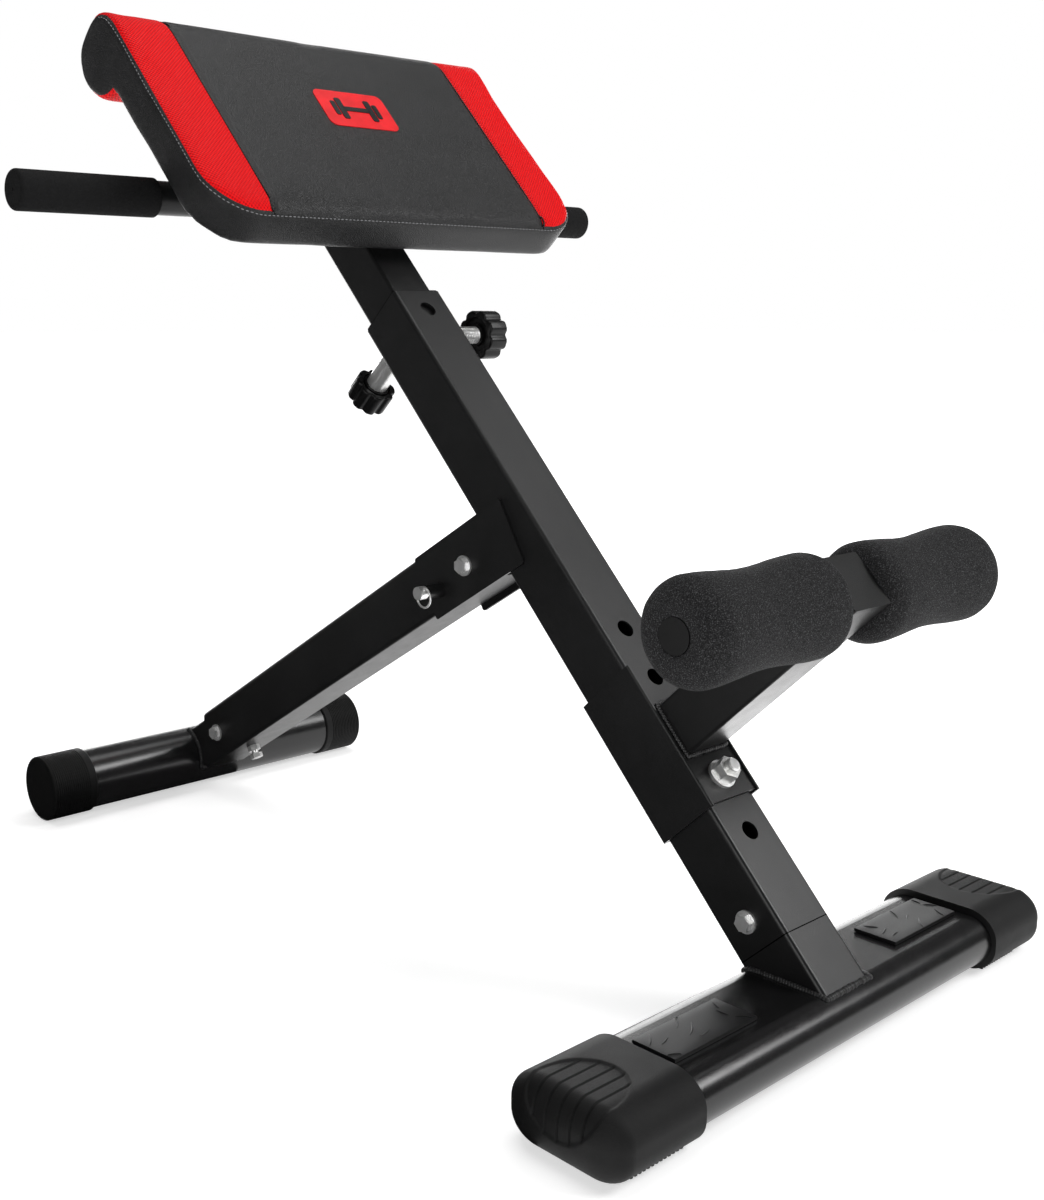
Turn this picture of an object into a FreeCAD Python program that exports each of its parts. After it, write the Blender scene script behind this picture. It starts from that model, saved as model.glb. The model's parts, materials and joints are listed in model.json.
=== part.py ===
import FreeCAD, Part
import math
import os

Vec = FreeCAD.Vector

# Hyperextension bench, millimetres. +Z up, +Y from the foot end to the rear foot, origin on the floor
# under the middle of the bench.
#
# Three working frames are used:
#   beam frame:  x across, y up along the main beam from the floor, z out of the beam's front face
#   strut frame: x across, y up along the rear strut from the rear foot's centre, z out of its underside
#   floor frame: the row frame itself

# Overall sizes
overall_length = 1006.0      # front foot cap edge to rear foot cap edge
beam_angle = 46.64           # main beam above the floor, degrees
grip_span = 723.6            # over the ends of the two hand grips
front_foot_span = 600.0      # over the front foot caps
rear_foot_span = 447.8       # over the rear foot caps

# Main beam and its front socket
beam_size = 60.0
beam_wall = 2.0
beam_corner = 4.0
beam_start = 99.9            # seam with the front socket
beam_end = 806.2
beam_lead = 43.4             # the beam's axis meets the floor this far ahead of the base tube's centre
spigot_gap = 0.1             # a tube inside a tube, each side
spigot_wall = 2.5
socket_spigot_end = 172.0
socket_bolt_at = 125.0
hole_pitch = 52.0
hole_radius = 8.5
lowest_hole = 188.0
roller_hole_count = 5

# Upper post, sliding in the beam on a plastic bush
post_size = 50.0
post_wall = 2.0
post_corner = 3.0
post_start = 560.0
post_end = 900.0
slide_gap = 0.2
bush_length = 100.0
bush_collar = 2.0
pull_pin_at = 782.0
post_holes_below = 4
post_holes_above = 1

# Pad carrier, handle bar and pad on top of the post
carrier_end = 1036.0
bar_at = 951.0
bar_radius = 15.9
bar_wall = 2.0
grip_radius = 18.3
grip_length = 139.8
grip_end_wall = 3.8
rail_height = 13.0
rail_wall = 3.0
rail_length = 220.0
rail_width = 30.0
rail_places = (890.0, 1000.0)
screw_radius = 3.0
screw_spread = 80.0
pad_start = 847.0
pad_width = 476.0
pad_thickness = 48.4
pad_roll_at = 1091.5
pad_roll_radius = 40.7
pad_low_corner = 57.0
pad_high_corner = 15.0
pad_edge = 9.0
board_thickness = 12.0
board_margin = 20.0
board_end = 1038.0

# Roller carriage
sleeve_start = 217.0
sleeve_end = 358.0
sleeve_wall = 3.0
sleeve_gap = 0.3
flange_height = beam_size / 2 + 7.0
plate_start = 219.0
plate_end = 321.0
plate_thickness = 4.2
arm_size = 50.0
arm_wall = 2.0
arm_at = 290.0
arm_end = 250.0
plug_head = 4.0
axle_height = 225.2
axle_radius = 12.7
axle_wall = 2.0
axle_half = 193.6
axle_cap = 2.0
axle_cap_radius = axle_radius + 0.9
roller_radius = 41.6
roller_waist = 38.0
roller_inner_round = 16.0
roller_outer_round = 20.0
roller_start = 26.0
roller_end = 195.6
liner_wall = 1.25
running_gap = 0.05
end_gap = 0.4
lock_bolt_at = 240.0
lock_bolt_radius = 6.5
lock_bolt_top = 54.0
tip_gap = 0.3

# Front foot
front_tube_depth = 106.7
front_tube_height = 45.0
front_tube_wall = 2.0
front_cap_depth = front_tube_depth + 8.3
front_cap_height = front_tube_height + 12.0
front_cap_length = 94.0
front_cap_wall = 34.0         # solid rubber beyond the tube's end
front_cap_plan_corner = 32.0
cap_corner = 26.0
tread_start = 98.3
tread_end = 197.4
tread_depth = 41.6
tread_thickness = 3.4

# Rear foot and strut
rear_tube_radius = 35.5
rear_tube_wall = 2.0
rear_cap_radius = rear_tube_radius + 2.5
rear_cap_length = 55.4
rear_cap_wall = 4.0
cap_rib_pitch = 2.8
cap_rib_count = 16
cap_rib_depth = 1.2
strut_wall = 2.0
strut_side_gap = 0.4
strut_foot_gap = 51.0        # vertical cut of the strut's lower end, ahead of the rear tube's centre
strut_past_pivot = 26.0
pivot_drop = 5.5             # pivot below the strut's centre line
pivot_at = 545.4             # along the beam
pivot_behind = 42.1          # behind the beam's rear face
rear_spigot_size = 50.0
rear_spigot_end = 160.0
liner_start = 80.0
strut_bolt_at = 92.0
clamp_bolt_at = 112.0
bracket_thickness = 3.0
bracket_ahead = 76.0
bracket_behind = 65.0
bracket_above = 30.0
bracket_below = 36.0
lock_pin_behind = 44.2       # behind the pivot, along the strut
lock_pin_drop = 12.1

# Fasteners, pins and knobs
bolt_radius = 4.0
bolt_hole_gap = 0.25
bolt_flats = 13.0
bolt_head = 5.3
nut_height = 6.8
bolt_spare = 2.5
washer_radius = 10.0
washer_thickness = 2.0
pin_radius = 5.0
pin_gap = 0.1
pin_tip_gap = 0.5
barrel_radius = 11.3
barrel_length = 51.5
barrel_end_wall = 5.5
collar_thickness = 2.0
knob_seat_gap = 0.5
pull_knob_radius = 21.8
pull_knob_height = 25.0
tension_at = 774.0
tension_screw_radius = 9.0
boss_flats = 27.0
boss_length = 12.0
tension_knob_radius = 25.5
tension_knob_start = 48.5    # clear of the beam's side
tension_knob_height = 24.0
lock_pin_radius = 4.0
lock_barrel_radius = 7.0
lock_barrel_length = 19.0
lock_barrel_wall = 2.0
lock_head_radius = 6.5
lock_head_length = 9.0
ring_radius = 9.8
ring_wire = 1.0
ring_drop = 5.0

# Worked-out sizes
beam_half = beam_size / 2
post_half = post_size / 2
strut_half = beam_half - strut_side_gap
front_y = -overall_length / 2 + front_cap_depth / 2
front_z = front_cap_height / 2
rear_y = overall_length / 2 - rear_cap_radius
rear_z = rear_cap_radius
beam_foot_y = front_y - beam_lead
slant = math.radians(beam_angle)
pad_under = post_half + rail_height
pad_top = pad_under + pad_thickness
plate_top = beam_half + sleeve_gap + plate_thickness
bolt_hole = bolt_radius + bolt_hole_gap


def beam_point(along, out):
    # Floor-frame y and z of a place on the beam's middle plane.
    y = beam_foot_y + along * math.cos(slant) - out * math.sin(slant)
    return y, along * math.sin(slant) + out * math.cos(slant)


pivot_y, pivot_z = beam_point(pivot_at, -beam_half - pivot_behind)
strut_reach = math.hypot(rear_y - pivot_y, pivot_z - rear_z)
strut_rise = math.atan2(pivot_z - rear_z, rear_y - pivot_y) + math.asin(pivot_drop / strut_reach)
pivot_up_strut = math.sqrt(strut_reach ** 2 - pivot_drop ** 2)


def from_beam(shape):
    shape.rotate(Vec(0, 0, 0), Vec(1, 0, 0), beam_angle)
    shape.translate(Vec(0, beam_foot_y, 0))
    return shape


def from_strut(shape):
    shape.rotate(Vec(0, 0, 0), Vec(1, 0, 0), 180 - math.degrees(strut_rise))
    shape.translate(Vec(0, rear_y, rear_z))
    return shape


def save(name, shape):
    shape.exportStep("parts/" + name + ".step")


def box(x_range, y_range, z_range):
    size = [high - low for low, high in (x_range, y_range, z_range)]
    return Part.makeBox(size[0], size[1], size[2], Vec(x_range[0], y_range[0], z_range[0]))


def rod(radius, start, end):
    line = Vec(*end).sub(Vec(*start))
    return Part.makeCylinder(radius, line.Length, Vec(*start), line)


def cross_rod(radius, x_range, y, z):
    return rod(radius, (x_range[0], y, z), (x_range[1], y, z))


def rounded_along(shape, direction, radius):
    # Rounds the straight edges that run along one direction.
    edges = []
    for edge in shape.Edges:
        ends = edge.valueAt(edge.LastParameter).sub(edge.valueAt(edge.FirstParameter))
        if ends.Length > 0 and abs(ends.normalize().dot(direction)) > 0.999:
            edges.append(edge)
    return shape.makeFillet(radius, edges)


def bar(width, height, corner, y_range, axis=Vec(0, 1, 0)):
    solid = box((-width / 2, width / 2), y_range, (-height / 2, height / 2))
    return rounded_along(solid, axis, corner)


def box_tube(width, height, wall, corner, y_range):
    outer = bar(width, height, corner, y_range)
    inner = bar(width - 2 * wall, height - 2 * wall, max(corner - wall, 0.5), y_range)
    return outer.cut(inner)


def stadium(x_range, depth, height, y, z):
    flat = depth / 2 - height / 2
    solid = box(x_range, (y - flat, y + flat), (z - height / 2, z + height / 2))
    for side in (-flat, flat):
        solid = solid.fuse(cross_rod(height / 2, x_range, y + side, z))
    return solid.removeSplitter()


def hexagon(flats, x_range, y, z):
    radius = flats / math.sqrt(3)
    corners = []
    for turn in range(7):
        angle = math.radians(60 * turn)
        corners.append(Vec(x_range[0], y + radius * math.cos(angle), z + radius * math.sin(angle)))
    return Part.Face(Part.makePolygon(corners)).extrude(Vec(x_range[1] - x_range[0], 0, 0))


def upright(shape):
    # Turns a shape built along x to stand along z.
    shape.rotate(Vec(0, 0, 0), Vec(0, 1, 0), -90)
    return shape


def hex_bolt(radius, flats, head, seat, tip, y, z):
    sign = 1 if tip > seat else -1
    low, high = sorted((seat, seat - sign * head))
    return hexagon(flats, (low, high), y, z).fuse(cross_rod(radius, (seat, tip), y, z)).removeSplitter()


def washer(x_range, y, z):
    return cross_rod(washer_radius, x_range, y, z).cut(cross_rod(bolt_hole, x_range, y, z))


def nut(radius, flats, x_range, y, z):
    return hexagon(flats, x_range, y, z).cut(cross_rod(radius, x_range, y, z))


def through_bolt(half, y, z):
    # A bolt across a square tube with its washers and nut: bolt, washers, nut.
    seat = half + washer_thickness
    bolt = hex_bolt(bolt_radius, bolt_flats, bolt_head, -seat, seat + nut_height + bolt_spare, y, z)
    washers = [washer((-seat, -half), y, z), washer((half, seat), y, z)]
    return bolt, washers, nut(bolt_radius, bolt_flats, (seat, seat + nut_height), y, z)


def lobed_knob(radius, height, lobes):
    # Knob standing on z = 0 along +z, scalloped round its rim, on a narrower hub.
    hub_height = height * 0.32
    rim = Part.makeCylinder(radius, height - hub_height, Vec(0, 0, hub_height))
    rim = rim.makeFillet(3.0, rim.Edges)
    for lobe in range(lobes):
        angle = 2 * math.pi * (lobe + 0.5) / lobes
        reach = radius * 1.1
        place = Vec(reach * math.cos(angle), reach * math.sin(angle), 0)
        rim = rim.cut(Part.makeCylinder(radius * 0.22, height, place))
    return rim.fuse(Part.makeCylinder(radius * 0.5, hub_height + 1)).removeSplitter()


def coil_sleeve(radius, wire, length):
    # The room a coil spring takes along +z from z = 0, as a sleeve one wire thick.
    sleeve = Part.makeCylinder(radius + wire, length)
    return sleeve.cut(Part.makeCylinder(radius - wire, length))


def sprung_barrel(radius, length, bore, chamber, wall):
    # Barrel along +z from z = 0, with a spring chamber between its guide ends.
    solid = Part.makeCylinder(radius, length)
    solid = solid.cut(Part.makeCylinder(bore, length))
    return solid.cut(Part.makeCylinder(chamber, length - 2 * wall, Vec(0, 0, wall)))


def make_main_beam():
    beam = box_tube(beam_size, beam_size, beam_wall, beam_corner, (beam_start, beam_end))
    reach = beam_half + 1
    fronts = [lowest_hole + step * hole_pitch for step in range(roller_hole_count)] + [pull_pin_at]
    for along in fronts:
        beam = beam.cut(rod(hole_radius, (0, along, 0), (0, along, reach)))
    beam = beam.cut(rod(pin_radius + pin_gap, (0, pull_pin_at, 0), (0, pull_pin_at, -reach)))
    beam = beam.cut(cross_rod(bolt_hole, (-reach, reach), socket_bolt_at, 0))
    beam = beam.cut(cross_rod(tension_screw_radius + pin_gap, (0, reach), tension_at, 0))
    save("main_beam", from_beam(beam))


def make_guide_bush():
    outer = beam_size - 2 * beam_wall - 2 * spigot_gap
    inner = post_size + 2 * slide_gap
    seated = (beam_end - bush_length, beam_end)
    bush = bar(outer, outer, beam_corner - beam_wall, seated)
    collar = bar(beam_size - 2, beam_size - 2, beam_corner - 1, (beam_end, beam_end + bush_collar))
    whole = (beam_end - bush_length, beam_end + bush_collar)
    bush = bush.fuse(collar).cut(bar(inner, inner, post_corner, whole))
    reach = beam_half + 1
    bush = bush.cut(rod(hole_radius, (0, pull_pin_at, 0), (0, pull_pin_at, reach)))
    bush = bush.cut(rod(pin_radius + pin_gap, (0, pull_pin_at, 0), (0, pull_pin_at, -reach)))
    bush = bush.cut(cross_rod(tension_screw_radius + pin_gap, (0, reach), tension_at, 0))
    save("guide_bush", from_beam(bush))


def front_base_solid():
    span = (-front_foot_span, front_foot_span)
    return stadium(span, front_tube_depth, front_tube_height, front_y, front_z)


def make_front_socket():
    socket = box_tube(beam_size, beam_size, beam_wall, beam_corner, (0, beam_start))
    base = front_base_solid()
    low_part = front_z + front_tube_height / 4
    below = box((-beam_size, beam_size), (-overall_length, overall_length), (-beam_size, low_part))
    save("front_socket", from_beam(socket).cut(base).cut(below))
    outer = beam_size - 2 * beam_wall - 2 * spigot_gap
    spigot = box_tube(outer, outer, spigot_wall, beam_corner - beam_wall, (0, socket_spigot_end))
    spigot = spigot.cut(cross_rod(bolt_hole, (-beam_half, beam_half), socket_bolt_at, 0))
    save("socket_spigot", from_beam(spigot).cut(base).cut(below))


def make_front_foot():
    end = front_foot_span / 2 - front_cap_wall
    outer = stadium((-end, end), front_tube_depth, front_tube_height, front_y, front_z)
    depth = front_tube_depth - 2 * front_tube_wall
    height = front_tube_height - 2 * front_tube_wall
    save("front_base_tube", outer.cut(stadium((-end, end), depth, height, front_y, front_z)))
    top = front_z + front_tube_height / 2
    for side, name in ((-1, "left"), (1, "right")):
        low, high = sorted((side * front_foot_span / 2, side * (front_foot_span / 2 - front_cap_length)))
        depth_range = (front_y - front_cap_depth / 2, front_y + front_cap_depth / 2)
        cap = rounded_along(box((low, high), depth_range, (0, front_cap_height)), Vec(1, 0, 0), cap_corner)
        plan = box((low, high), depth_range, (0, front_cap_height))
        face_x = side * front_foot_span / 2
        corners = [edge for edge in plan.Edges if abs(edge.CenterOfMass.x - face_x) < 0.01
                   and abs(edge.CenterOfMass.y - front_y) > front_cap_depth / 2 - 0.01]
        cap = cap.common(plan.makeFillet(front_cap_plan_corner, corners))
        save("front_cap_" + name, cap.cut(outer))
        low, high = sorted((side * tread_start, side * tread_end))
        tread_range = (front_y - tread_depth / 2, front_y + tread_depth / 2)
        tread = box((low, high), tread_range, (top, top + tread_thickness))
        save("tread_pad_" + name, rounded_along(tread, Vec(0, 0, 1), 1.5))


def make_brackets():
    front = pivot_up_strut + bracket_ahead
    back = pivot_up_strut - bracket_behind
    pin_along = pivot_up_strut - lock_pin_behind
    for side, name in ((-1, "left"), (1, "right")):
        low, high = sorted((side * beam_half, side * (beam_half + bracket_thickness)))
        plate = box((low, high), (back, front), (-bracket_above, bracket_below))
        plate = rounded_along(plate, Vec(1, 0, 0), 3.0)
        plate = plate.cut(cross_rod(bolt_hole, (low, high), pivot_up_strut, pivot_drop))
        if side < 0:
            plate = plate.cut(cross_rod(lock_pin_radius + pin_gap, (low, high), pin_along, lock_pin_drop))
        save("strut_bracket_" + name, from_strut(plate))


def make_frame_fasteners():
    socket = through_bolt(beam_half, socket_bolt_at, 0)
    pivot = through_bolt(beam_half + bracket_thickness, pivot_up_strut, pivot_drop)
    save("socket_bolt", from_beam(socket[0]))
    save("pivot_bolt", from_strut(pivot[0]))
    washers = [from_beam(piece) for piece in socket[1]] + [from_strut(piece) for piece in pivot[1]]
    save("frame_washers", Part.makeCompound(washers))
    save("frame_nuts", Part.makeCompound([from_beam(socket[2]), from_strut(pivot[2])]))


def make_pull_pin():
    # Sprung pin behind the beam that drops into the post's holes.
    chamber = barrel_radius - 1.5
    def behind(shape, depth):
        shape.rotate(Vec(0, 0, 0), Vec(1, 0, 0), 180)
        shape.translate(Vec(0, pull_pin_at, -depth))
        return from_beam(shape)
    bore = pin_radius + pin_gap
    barrel = sprung_barrel(barrel_radius, barrel_length, bore, chamber, barrel_end_wall)
    save("pull_pin_barrel", behind(barrel, beam_half))
    tip = post_half + pin_tip_gap
    knob_start = beam_half + barrel_length + knob_seat_gap
    socket_depth = pull_knob_height - 5
    pin_length = knob_start + socket_depth - tip
    pin = Part.makeCylinder(pin_radius, pin_length)
    pin = pin.makeChamfer(1.5, [edge for edge in pin.Edges if abs(edge.CenterOfMass.z) < 0.01])
    collar_at = beam_half + barrel_end_wall + 0.5
    pin = pin.fuse(Part.makeCylinder(chamber - 0.3, collar_thickness, Vec(0, 0, collar_at - tip)))
    save("pull_pin", behind(pin.removeSplitter(), tip))
    knob = lobed_knob(pull_knob_radius, pull_knob_height, 8)
    save("pull_knob", behind(knob.cut(Part.makeCylinder(pin_radius, socket_depth)), knob_start))
    spring_start = collar_at + collar_thickness + 0.2
    spring_end = beam_half + barrel_length - barrel_end_wall - 0.2
    spring = coil_sleeve(pin_radius + 1.3, 0.6, spring_end - spring_start)
    save("pull_spring", behind(spring, spring_start))


def make_lock_pin():
    # Sprung pin with a ring on the left bracket plate that drops into the strut.
    along = pivot_up_strut - lock_pin_behind
    face = beam_half + bracket_thickness
    chamber = lock_barrel_radius - 1.4
    bore = lock_pin_radius + pin_gap
    def outward(shape, distance):
        shape.rotate(Vec(0, 0, 0), Vec(0, 1, 0), -90)
        shape.translate(Vec(-distance, along, lock_pin_drop))
        return from_strut(shape)
    barrel = sprung_barrel(lock_barrel_radius, lock_barrel_length, bore, chamber, lock_barrel_wall)
    save("lock_pin_barrel", outward(barrel, face))
    tip = beam_half + pin_tip_gap
    length = face + lock_barrel_length + 2 - tip
    pin = Part.makeCylinder(lock_pin_radius, length)
    head = Part.makeCylinder(lock_head_radius, lock_head_length, Vec(0, 0, length))
    # The ring hangs in a bent cross hole near the top of the head
    ring_centre = Vec(ring_drop, 0, length + lock_head_length / 3)
    head = head.cut(Part.makeTorus(ring_radius, ring_wire + 0.3, ring_centre, Vec(0, 0, 1)))
    collar_at = face + lock_barrel_wall + 0.5 - tip
    pin = pin.fuse(head).fuse(Part.makeCylinder(chamber - 0.3, 1.5, Vec(0, 0, collar_at)))
    save("lock_pin", outward(pin.removeSplitter(), tip))
    ring = Part.makeTorus(ring_radius, ring_wire, ring_centre, Vec(0, 0, 1))
    save("lock_ring", outward(ring, tip))
    spring_start = face + lock_barrel_wall + 2.2
    spring_end = face + lock_barrel_length - lock_barrel_wall - 0.2
    spring = coil_sleeve(lock_pin_radius + 0.8, 0.4, spring_end - spring_start)
    save("lock_spring", outward(spring, spring_start))


def make_tension_knob():
    boss = hexagon(boss_flats, (beam_half, beam_half + boss_length), tension_at, 0)
    gap = tension_screw_radius + running_gap
    save("knob_boss", from_beam(boss.cut(cross_rod(gap, (0, beam_size), tension_at, 0))))
    knob_start = beam_half + tension_knob_start
    socket_depth = tension_knob_height - 5
    tip = post_half + tip_gap
    screw = cross_rod(tension_screw_radius, (tip, knob_start + socket_depth), tension_at, 0)
    save("tension_screw", from_beam(screw))
    knob = lobed_knob(tension_knob_radius, tension_knob_height, 8)
    knob = knob.cut(Part.makeCylinder(tension_screw_radius, socket_depth))
    knob.rotate(Vec(0, 0, 0), Vec(0, 1, 0), 90)
    knob.translate(Vec(knob_start, tension_at, 0))
    save("tension_knob", from_beam(knob))


def make_rear_foot():
    end = rear_foot_span / 2 - rear_cap_wall
    outer = cross_rod(rear_tube_radius, (-end, end), rear_y, rear_z)
    inner = cross_rod(rear_tube_radius - rear_tube_wall, (-end, end), rear_y, rear_z)
    save("rear_base_tube", outer.cut(inner))
    for side, name in ((-1, "left"), (1, "right")):
        face = rear_foot_span / 2
        points = [Vec(face - rear_cap_length, 0, 0), Vec(face - rear_cap_length, rear_cap_radius, 0)]
        for rib in range(cap_rib_count):
            start = face - 3 - (cap_rib_count - rib) * cap_rib_pitch
            low = rear_cap_radius - cap_rib_depth
            points.append(Vec(start, rear_cap_radius, 0))
            points.append(Vec(start + 0.4, low, 0))
            points.append(Vec(start + 0.9, low, 0))
            points.append(Vec(start + 1.3, rear_cap_radius, 0))
        points += [Vec(face - 3, rear_cap_radius, 0), Vec(face, rear_cap_radius - 3, 0), Vec(face, 0, 0)]
        points.append(points[0])
        cap = Part.Face(Part.makePolygon(points)).revolve(Vec(0, 0, 0), Vec(1, 0, 0), 360)
        if side < 0:
            cap.rotate(Vec(0, 0, 0), Vec(0, 0, 1), 180)
        cap.translate(Vec(0, rear_y, rear_z))
        save("rear_cap_" + name, cap.cut(outer))


def make_strut():
    cut_depth = (rear_y - strut_foot_gap, rear_y + beam_size)
    foot_cut = box((-beam_size, beam_size), cut_depth, (-beam_size, 3 * beam_size))
    top = pivot_up_strut + strut_past_pivot
    width = 2 * strut_half
    strut = box_tube(width, beam_size, strut_wall, beam_corner, (0, top))
    sleeve_radius = bolt_radius + 3
    pin_along = pivot_up_strut - lock_pin_behind
    strut = strut.cut(cross_rod(sleeve_radius, (-beam_half, beam_half), pivot_up_strut, pivot_drop))
    strut = strut.cut(cross_rod(lock_pin_radius + 0.5, (-beam_half, 0), pin_along, lock_pin_drop))
    strut = strut.cut(cross_rod(bolt_hole, (-beam_half, beam_half), strut_bolt_at, 0))
    strut = strut.cut(rod(4.2, (0, clamp_bolt_at, 0), (0, clamp_bolt_at, beam_half)))
    save("rear_strut", from_strut(strut).cut(foot_cut))
    pivot_tube = cross_rod(sleeve_radius, (-strut_half, strut_half), pivot_up_strut, pivot_drop)
    bore = cross_rod(bolt_radius + running_gap, (-strut_half, strut_half), pivot_up_strut, pivot_drop)
    save("strut_pivot_tube", from_strut(pivot_tube.cut(bore)))
    round_tube = cross_rod(rear_tube_radius, (-beam_size, beam_size), rear_y, rear_z)
    spigot = box_tube(rear_spigot_size, rear_spigot_size, spigot_wall, post_corner, (0, rear_spigot_end))
    spigot = spigot.cut(cross_rod(bolt_hole, (-beam_half, beam_half), strut_bolt_at, 0))
    save("rear_spigot", from_strut(spigot).cut(round_tube))
    outer_x = 2 * (strut_half - strut_wall - spigot_gap)
    outer_z = beam_size - 2 * strut_wall - 2 * spigot_gap
    inner = rear_spigot_size + 2 * spigot_gap
    span = (liner_start, rear_spigot_end + 5)
    liner = bar(outer_x, outer_z, beam_corner - strut_wall, span).cut(bar(inner, inner, post_corner, span))
    liner = liner.cut(cross_rod(bolt_hole, (-beam_half, beam_half), strut_bolt_at, 0))
    liner = liner.cut(rod(4.2, (0, clamp_bolt_at, 0), (0, clamp_bolt_at, beam_half)))
    save("spigot_liner", from_strut(liner))
    bolt, washers, side_nut = through_bolt(strut_half, strut_bolt_at, 0)
    save("strut_side_bolt", from_strut(bolt))
    save("strut_washers", from_strut(Part.makeCompound(washers)))
    clamp_nut = upright(nut(4.0, 13.0, (beam_half, beam_half + 6.5), 0, 0))
    clamp_bolt = upright(hex_bolt(4.0, 13.0, 5.3, beam_half + 10.5, rear_spigot_size / 2, 0, 0))
    for piece in (clamp_nut, clamp_bolt):
        piece.translate(Vec(0, clamp_bolt_at, 0))
    save("strut_clamp_bolt", from_strut(clamp_bolt))
    save("strut_nuts", from_strut(Part.makeCompound([side_nut, clamp_nut])))


def make_post():
    post = box_tube(post_size, post_size, post_wall, post_corner, (post_start, post_end))
    for step in range(-post_holes_below, post_holes_above + 1):
        along = pull_pin_at + step * hole_pitch
        post = post.cut(rod(pin_radius + bolt_hole_gap, (0, along, 0), (0, along, -post_half - 1)))
    save("upper_post", from_beam(post))
    inner = post_size - 2 * post_wall - 2 * spigot_gap
    spigot = box_tube(inner, inner, spigot_wall, 1.0, (post_end - 50, bar_at - bar_radius - 5))
    save("carrier_spigot", from_beam(spigot))
    carrier = box_tube(post_size, post_size, post_wall, post_corner, (post_end, carrier_end))
    carrier = carrier.cut(cross_rod(bar_radius, (-post_size, post_size), bar_at, 0))
    save("pad_carrier", from_beam(carrier))


def make_handle_bar():
    half = grip_span / 2 - grip_end_wall
    solid = cross_rod(bar_radius, (-half, half), bar_at, 0)
    bore = cross_rod(bar_radius - bar_wall, (-half, half), bar_at, 0)
    plugs = []
    for side, name in ((-1, "left"), (1, "right")):
        low, high = sorted((side * grip_span / 2, side * (grip_span / 2 - grip_length)))
        grip = cross_rod(grip_radius, (low, high), bar_at, 0).cut(solid)
        grip = grip.cut(cross_rod(1.0, (low, high), bar_at, 0))
        save("grip_" + name, from_beam(grip))
        low, high = sorted((side * half, side * (half - 18)))
        plugs.append(from_beam(cross_rod(bar_radius - bar_wall, (low, high), bar_at, 0)))
    save("handle_bar", from_beam(solid.cut(bore)))
    save("bar_plugs", Part.makeCompound(plugs))


def make_pad():
    screws = []
    rails = []
    length = board_thickness - 2
    board = box((-pad_width / 2 + board_margin, pad_width / 2 - board_margin),
                (pad_start + board_margin, board_end), (pad_under, pad_under + board_thickness))
    board = rounded_along(board, Vec(0, 0, 1), pad_low_corner - board_margin)
    pocket = board.copy()
    for along in rail_places:
        outer_y = (along - rail_width / 2, along + rail_width / 2)
        inner_y = (outer_y[0] + rail_wall, outer_y[1] - rail_wall)
        rail = box((-rail_length / 2, rail_length / 2), outer_y, (post_half, pad_under))
        rail = rail.cut(box((-rail_length, rail_length), inner_y, (post_half, pad_under - rail_wall)))
        for x in (-screw_spread, screw_spread):
            seat = pad_under - rail_wall
            hole = rod(screw_radius, (x, along, seat), (x, along, pad_under + length))
            head = rod(2 * screw_radius, (x, along, seat - 3), (x, along, seat))
            rail = rail.cut(hole)
            board = board.cut(hole)
            screws.append(from_beam(head.fuse(hole).removeSplitter()))
        rails.append(from_beam(rail))
    save("pad_rails", Part.makeCompound(rails))
    save("pad_screws", Part.makeCompound(screws))
    save("pad_board", from_beam(board))
    save("pad_cushion", from_beam(cushion_solid().cut(pocket)))


def cushion_solid():
    # Side profile: flat slab whose upper end rolls over and back to the underside.
    half = pad_width / 2
    roll_z = pad_top - pad_roll_radius
    back = math.sqrt(pad_roll_radius ** 2 - (roll_z - pad_under) ** 2)
    def at(y, z):
        return Vec(-half, y, z)
    bend = pad_edge * (1 - math.cos(math.pi / 4))
    tuck = at(pad_roll_at - back, pad_under)
    roll = Part.Arc(tuck, at(pad_roll_at + pad_roll_radius, roll_z), at(pad_roll_at, pad_top))
    low_end = Part.Arc(at(pad_start, pad_under + pad_edge), at(pad_start + bend, pad_under + bend),
                       at(pad_start + pad_edge, pad_under))
    high_end = Part.Arc(at(pad_start + pad_edge, pad_top), at(pad_start + bend, pad_top - bend),
                        at(pad_start, pad_top - pad_edge))
    lines = [Part.LineSegment(at(pad_start + pad_edge, pad_under), tuck),
             Part.LineSegment(at(pad_roll_at, pad_top), at(pad_start + pad_edge, pad_top)),
             Part.LineSegment(at(pad_start, pad_top - pad_edge), at(pad_start, pad_under + pad_edge))]
    edges = [low_end.toShape(), lines[0].toShape(), roll.toShape(), lines[1].toShape(),
             high_end.toShape(), lines[2].toShape()]
    slab = Part.Face(Part.Wire(edges)).extrude(Vec(pad_width, 0, 0))
    end = pad_roll_at + pad_roll_radius
    outline = box((-half, half), (pad_start, end), (-pad_top, 2 * pad_top))
    for corner, radius in ((pad_start, pad_low_corner), (end, pad_high_corner)):
        edges = [edge for edge in outline.Edges if abs(edge.CenterOfMass.y - corner) < 0.01
                 and abs(edge.tangentAt(edge.FirstParameter).z) > 0.99]
        outline = outline.makeFillet(radius, edges)
    return slab.common(outline)


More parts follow.
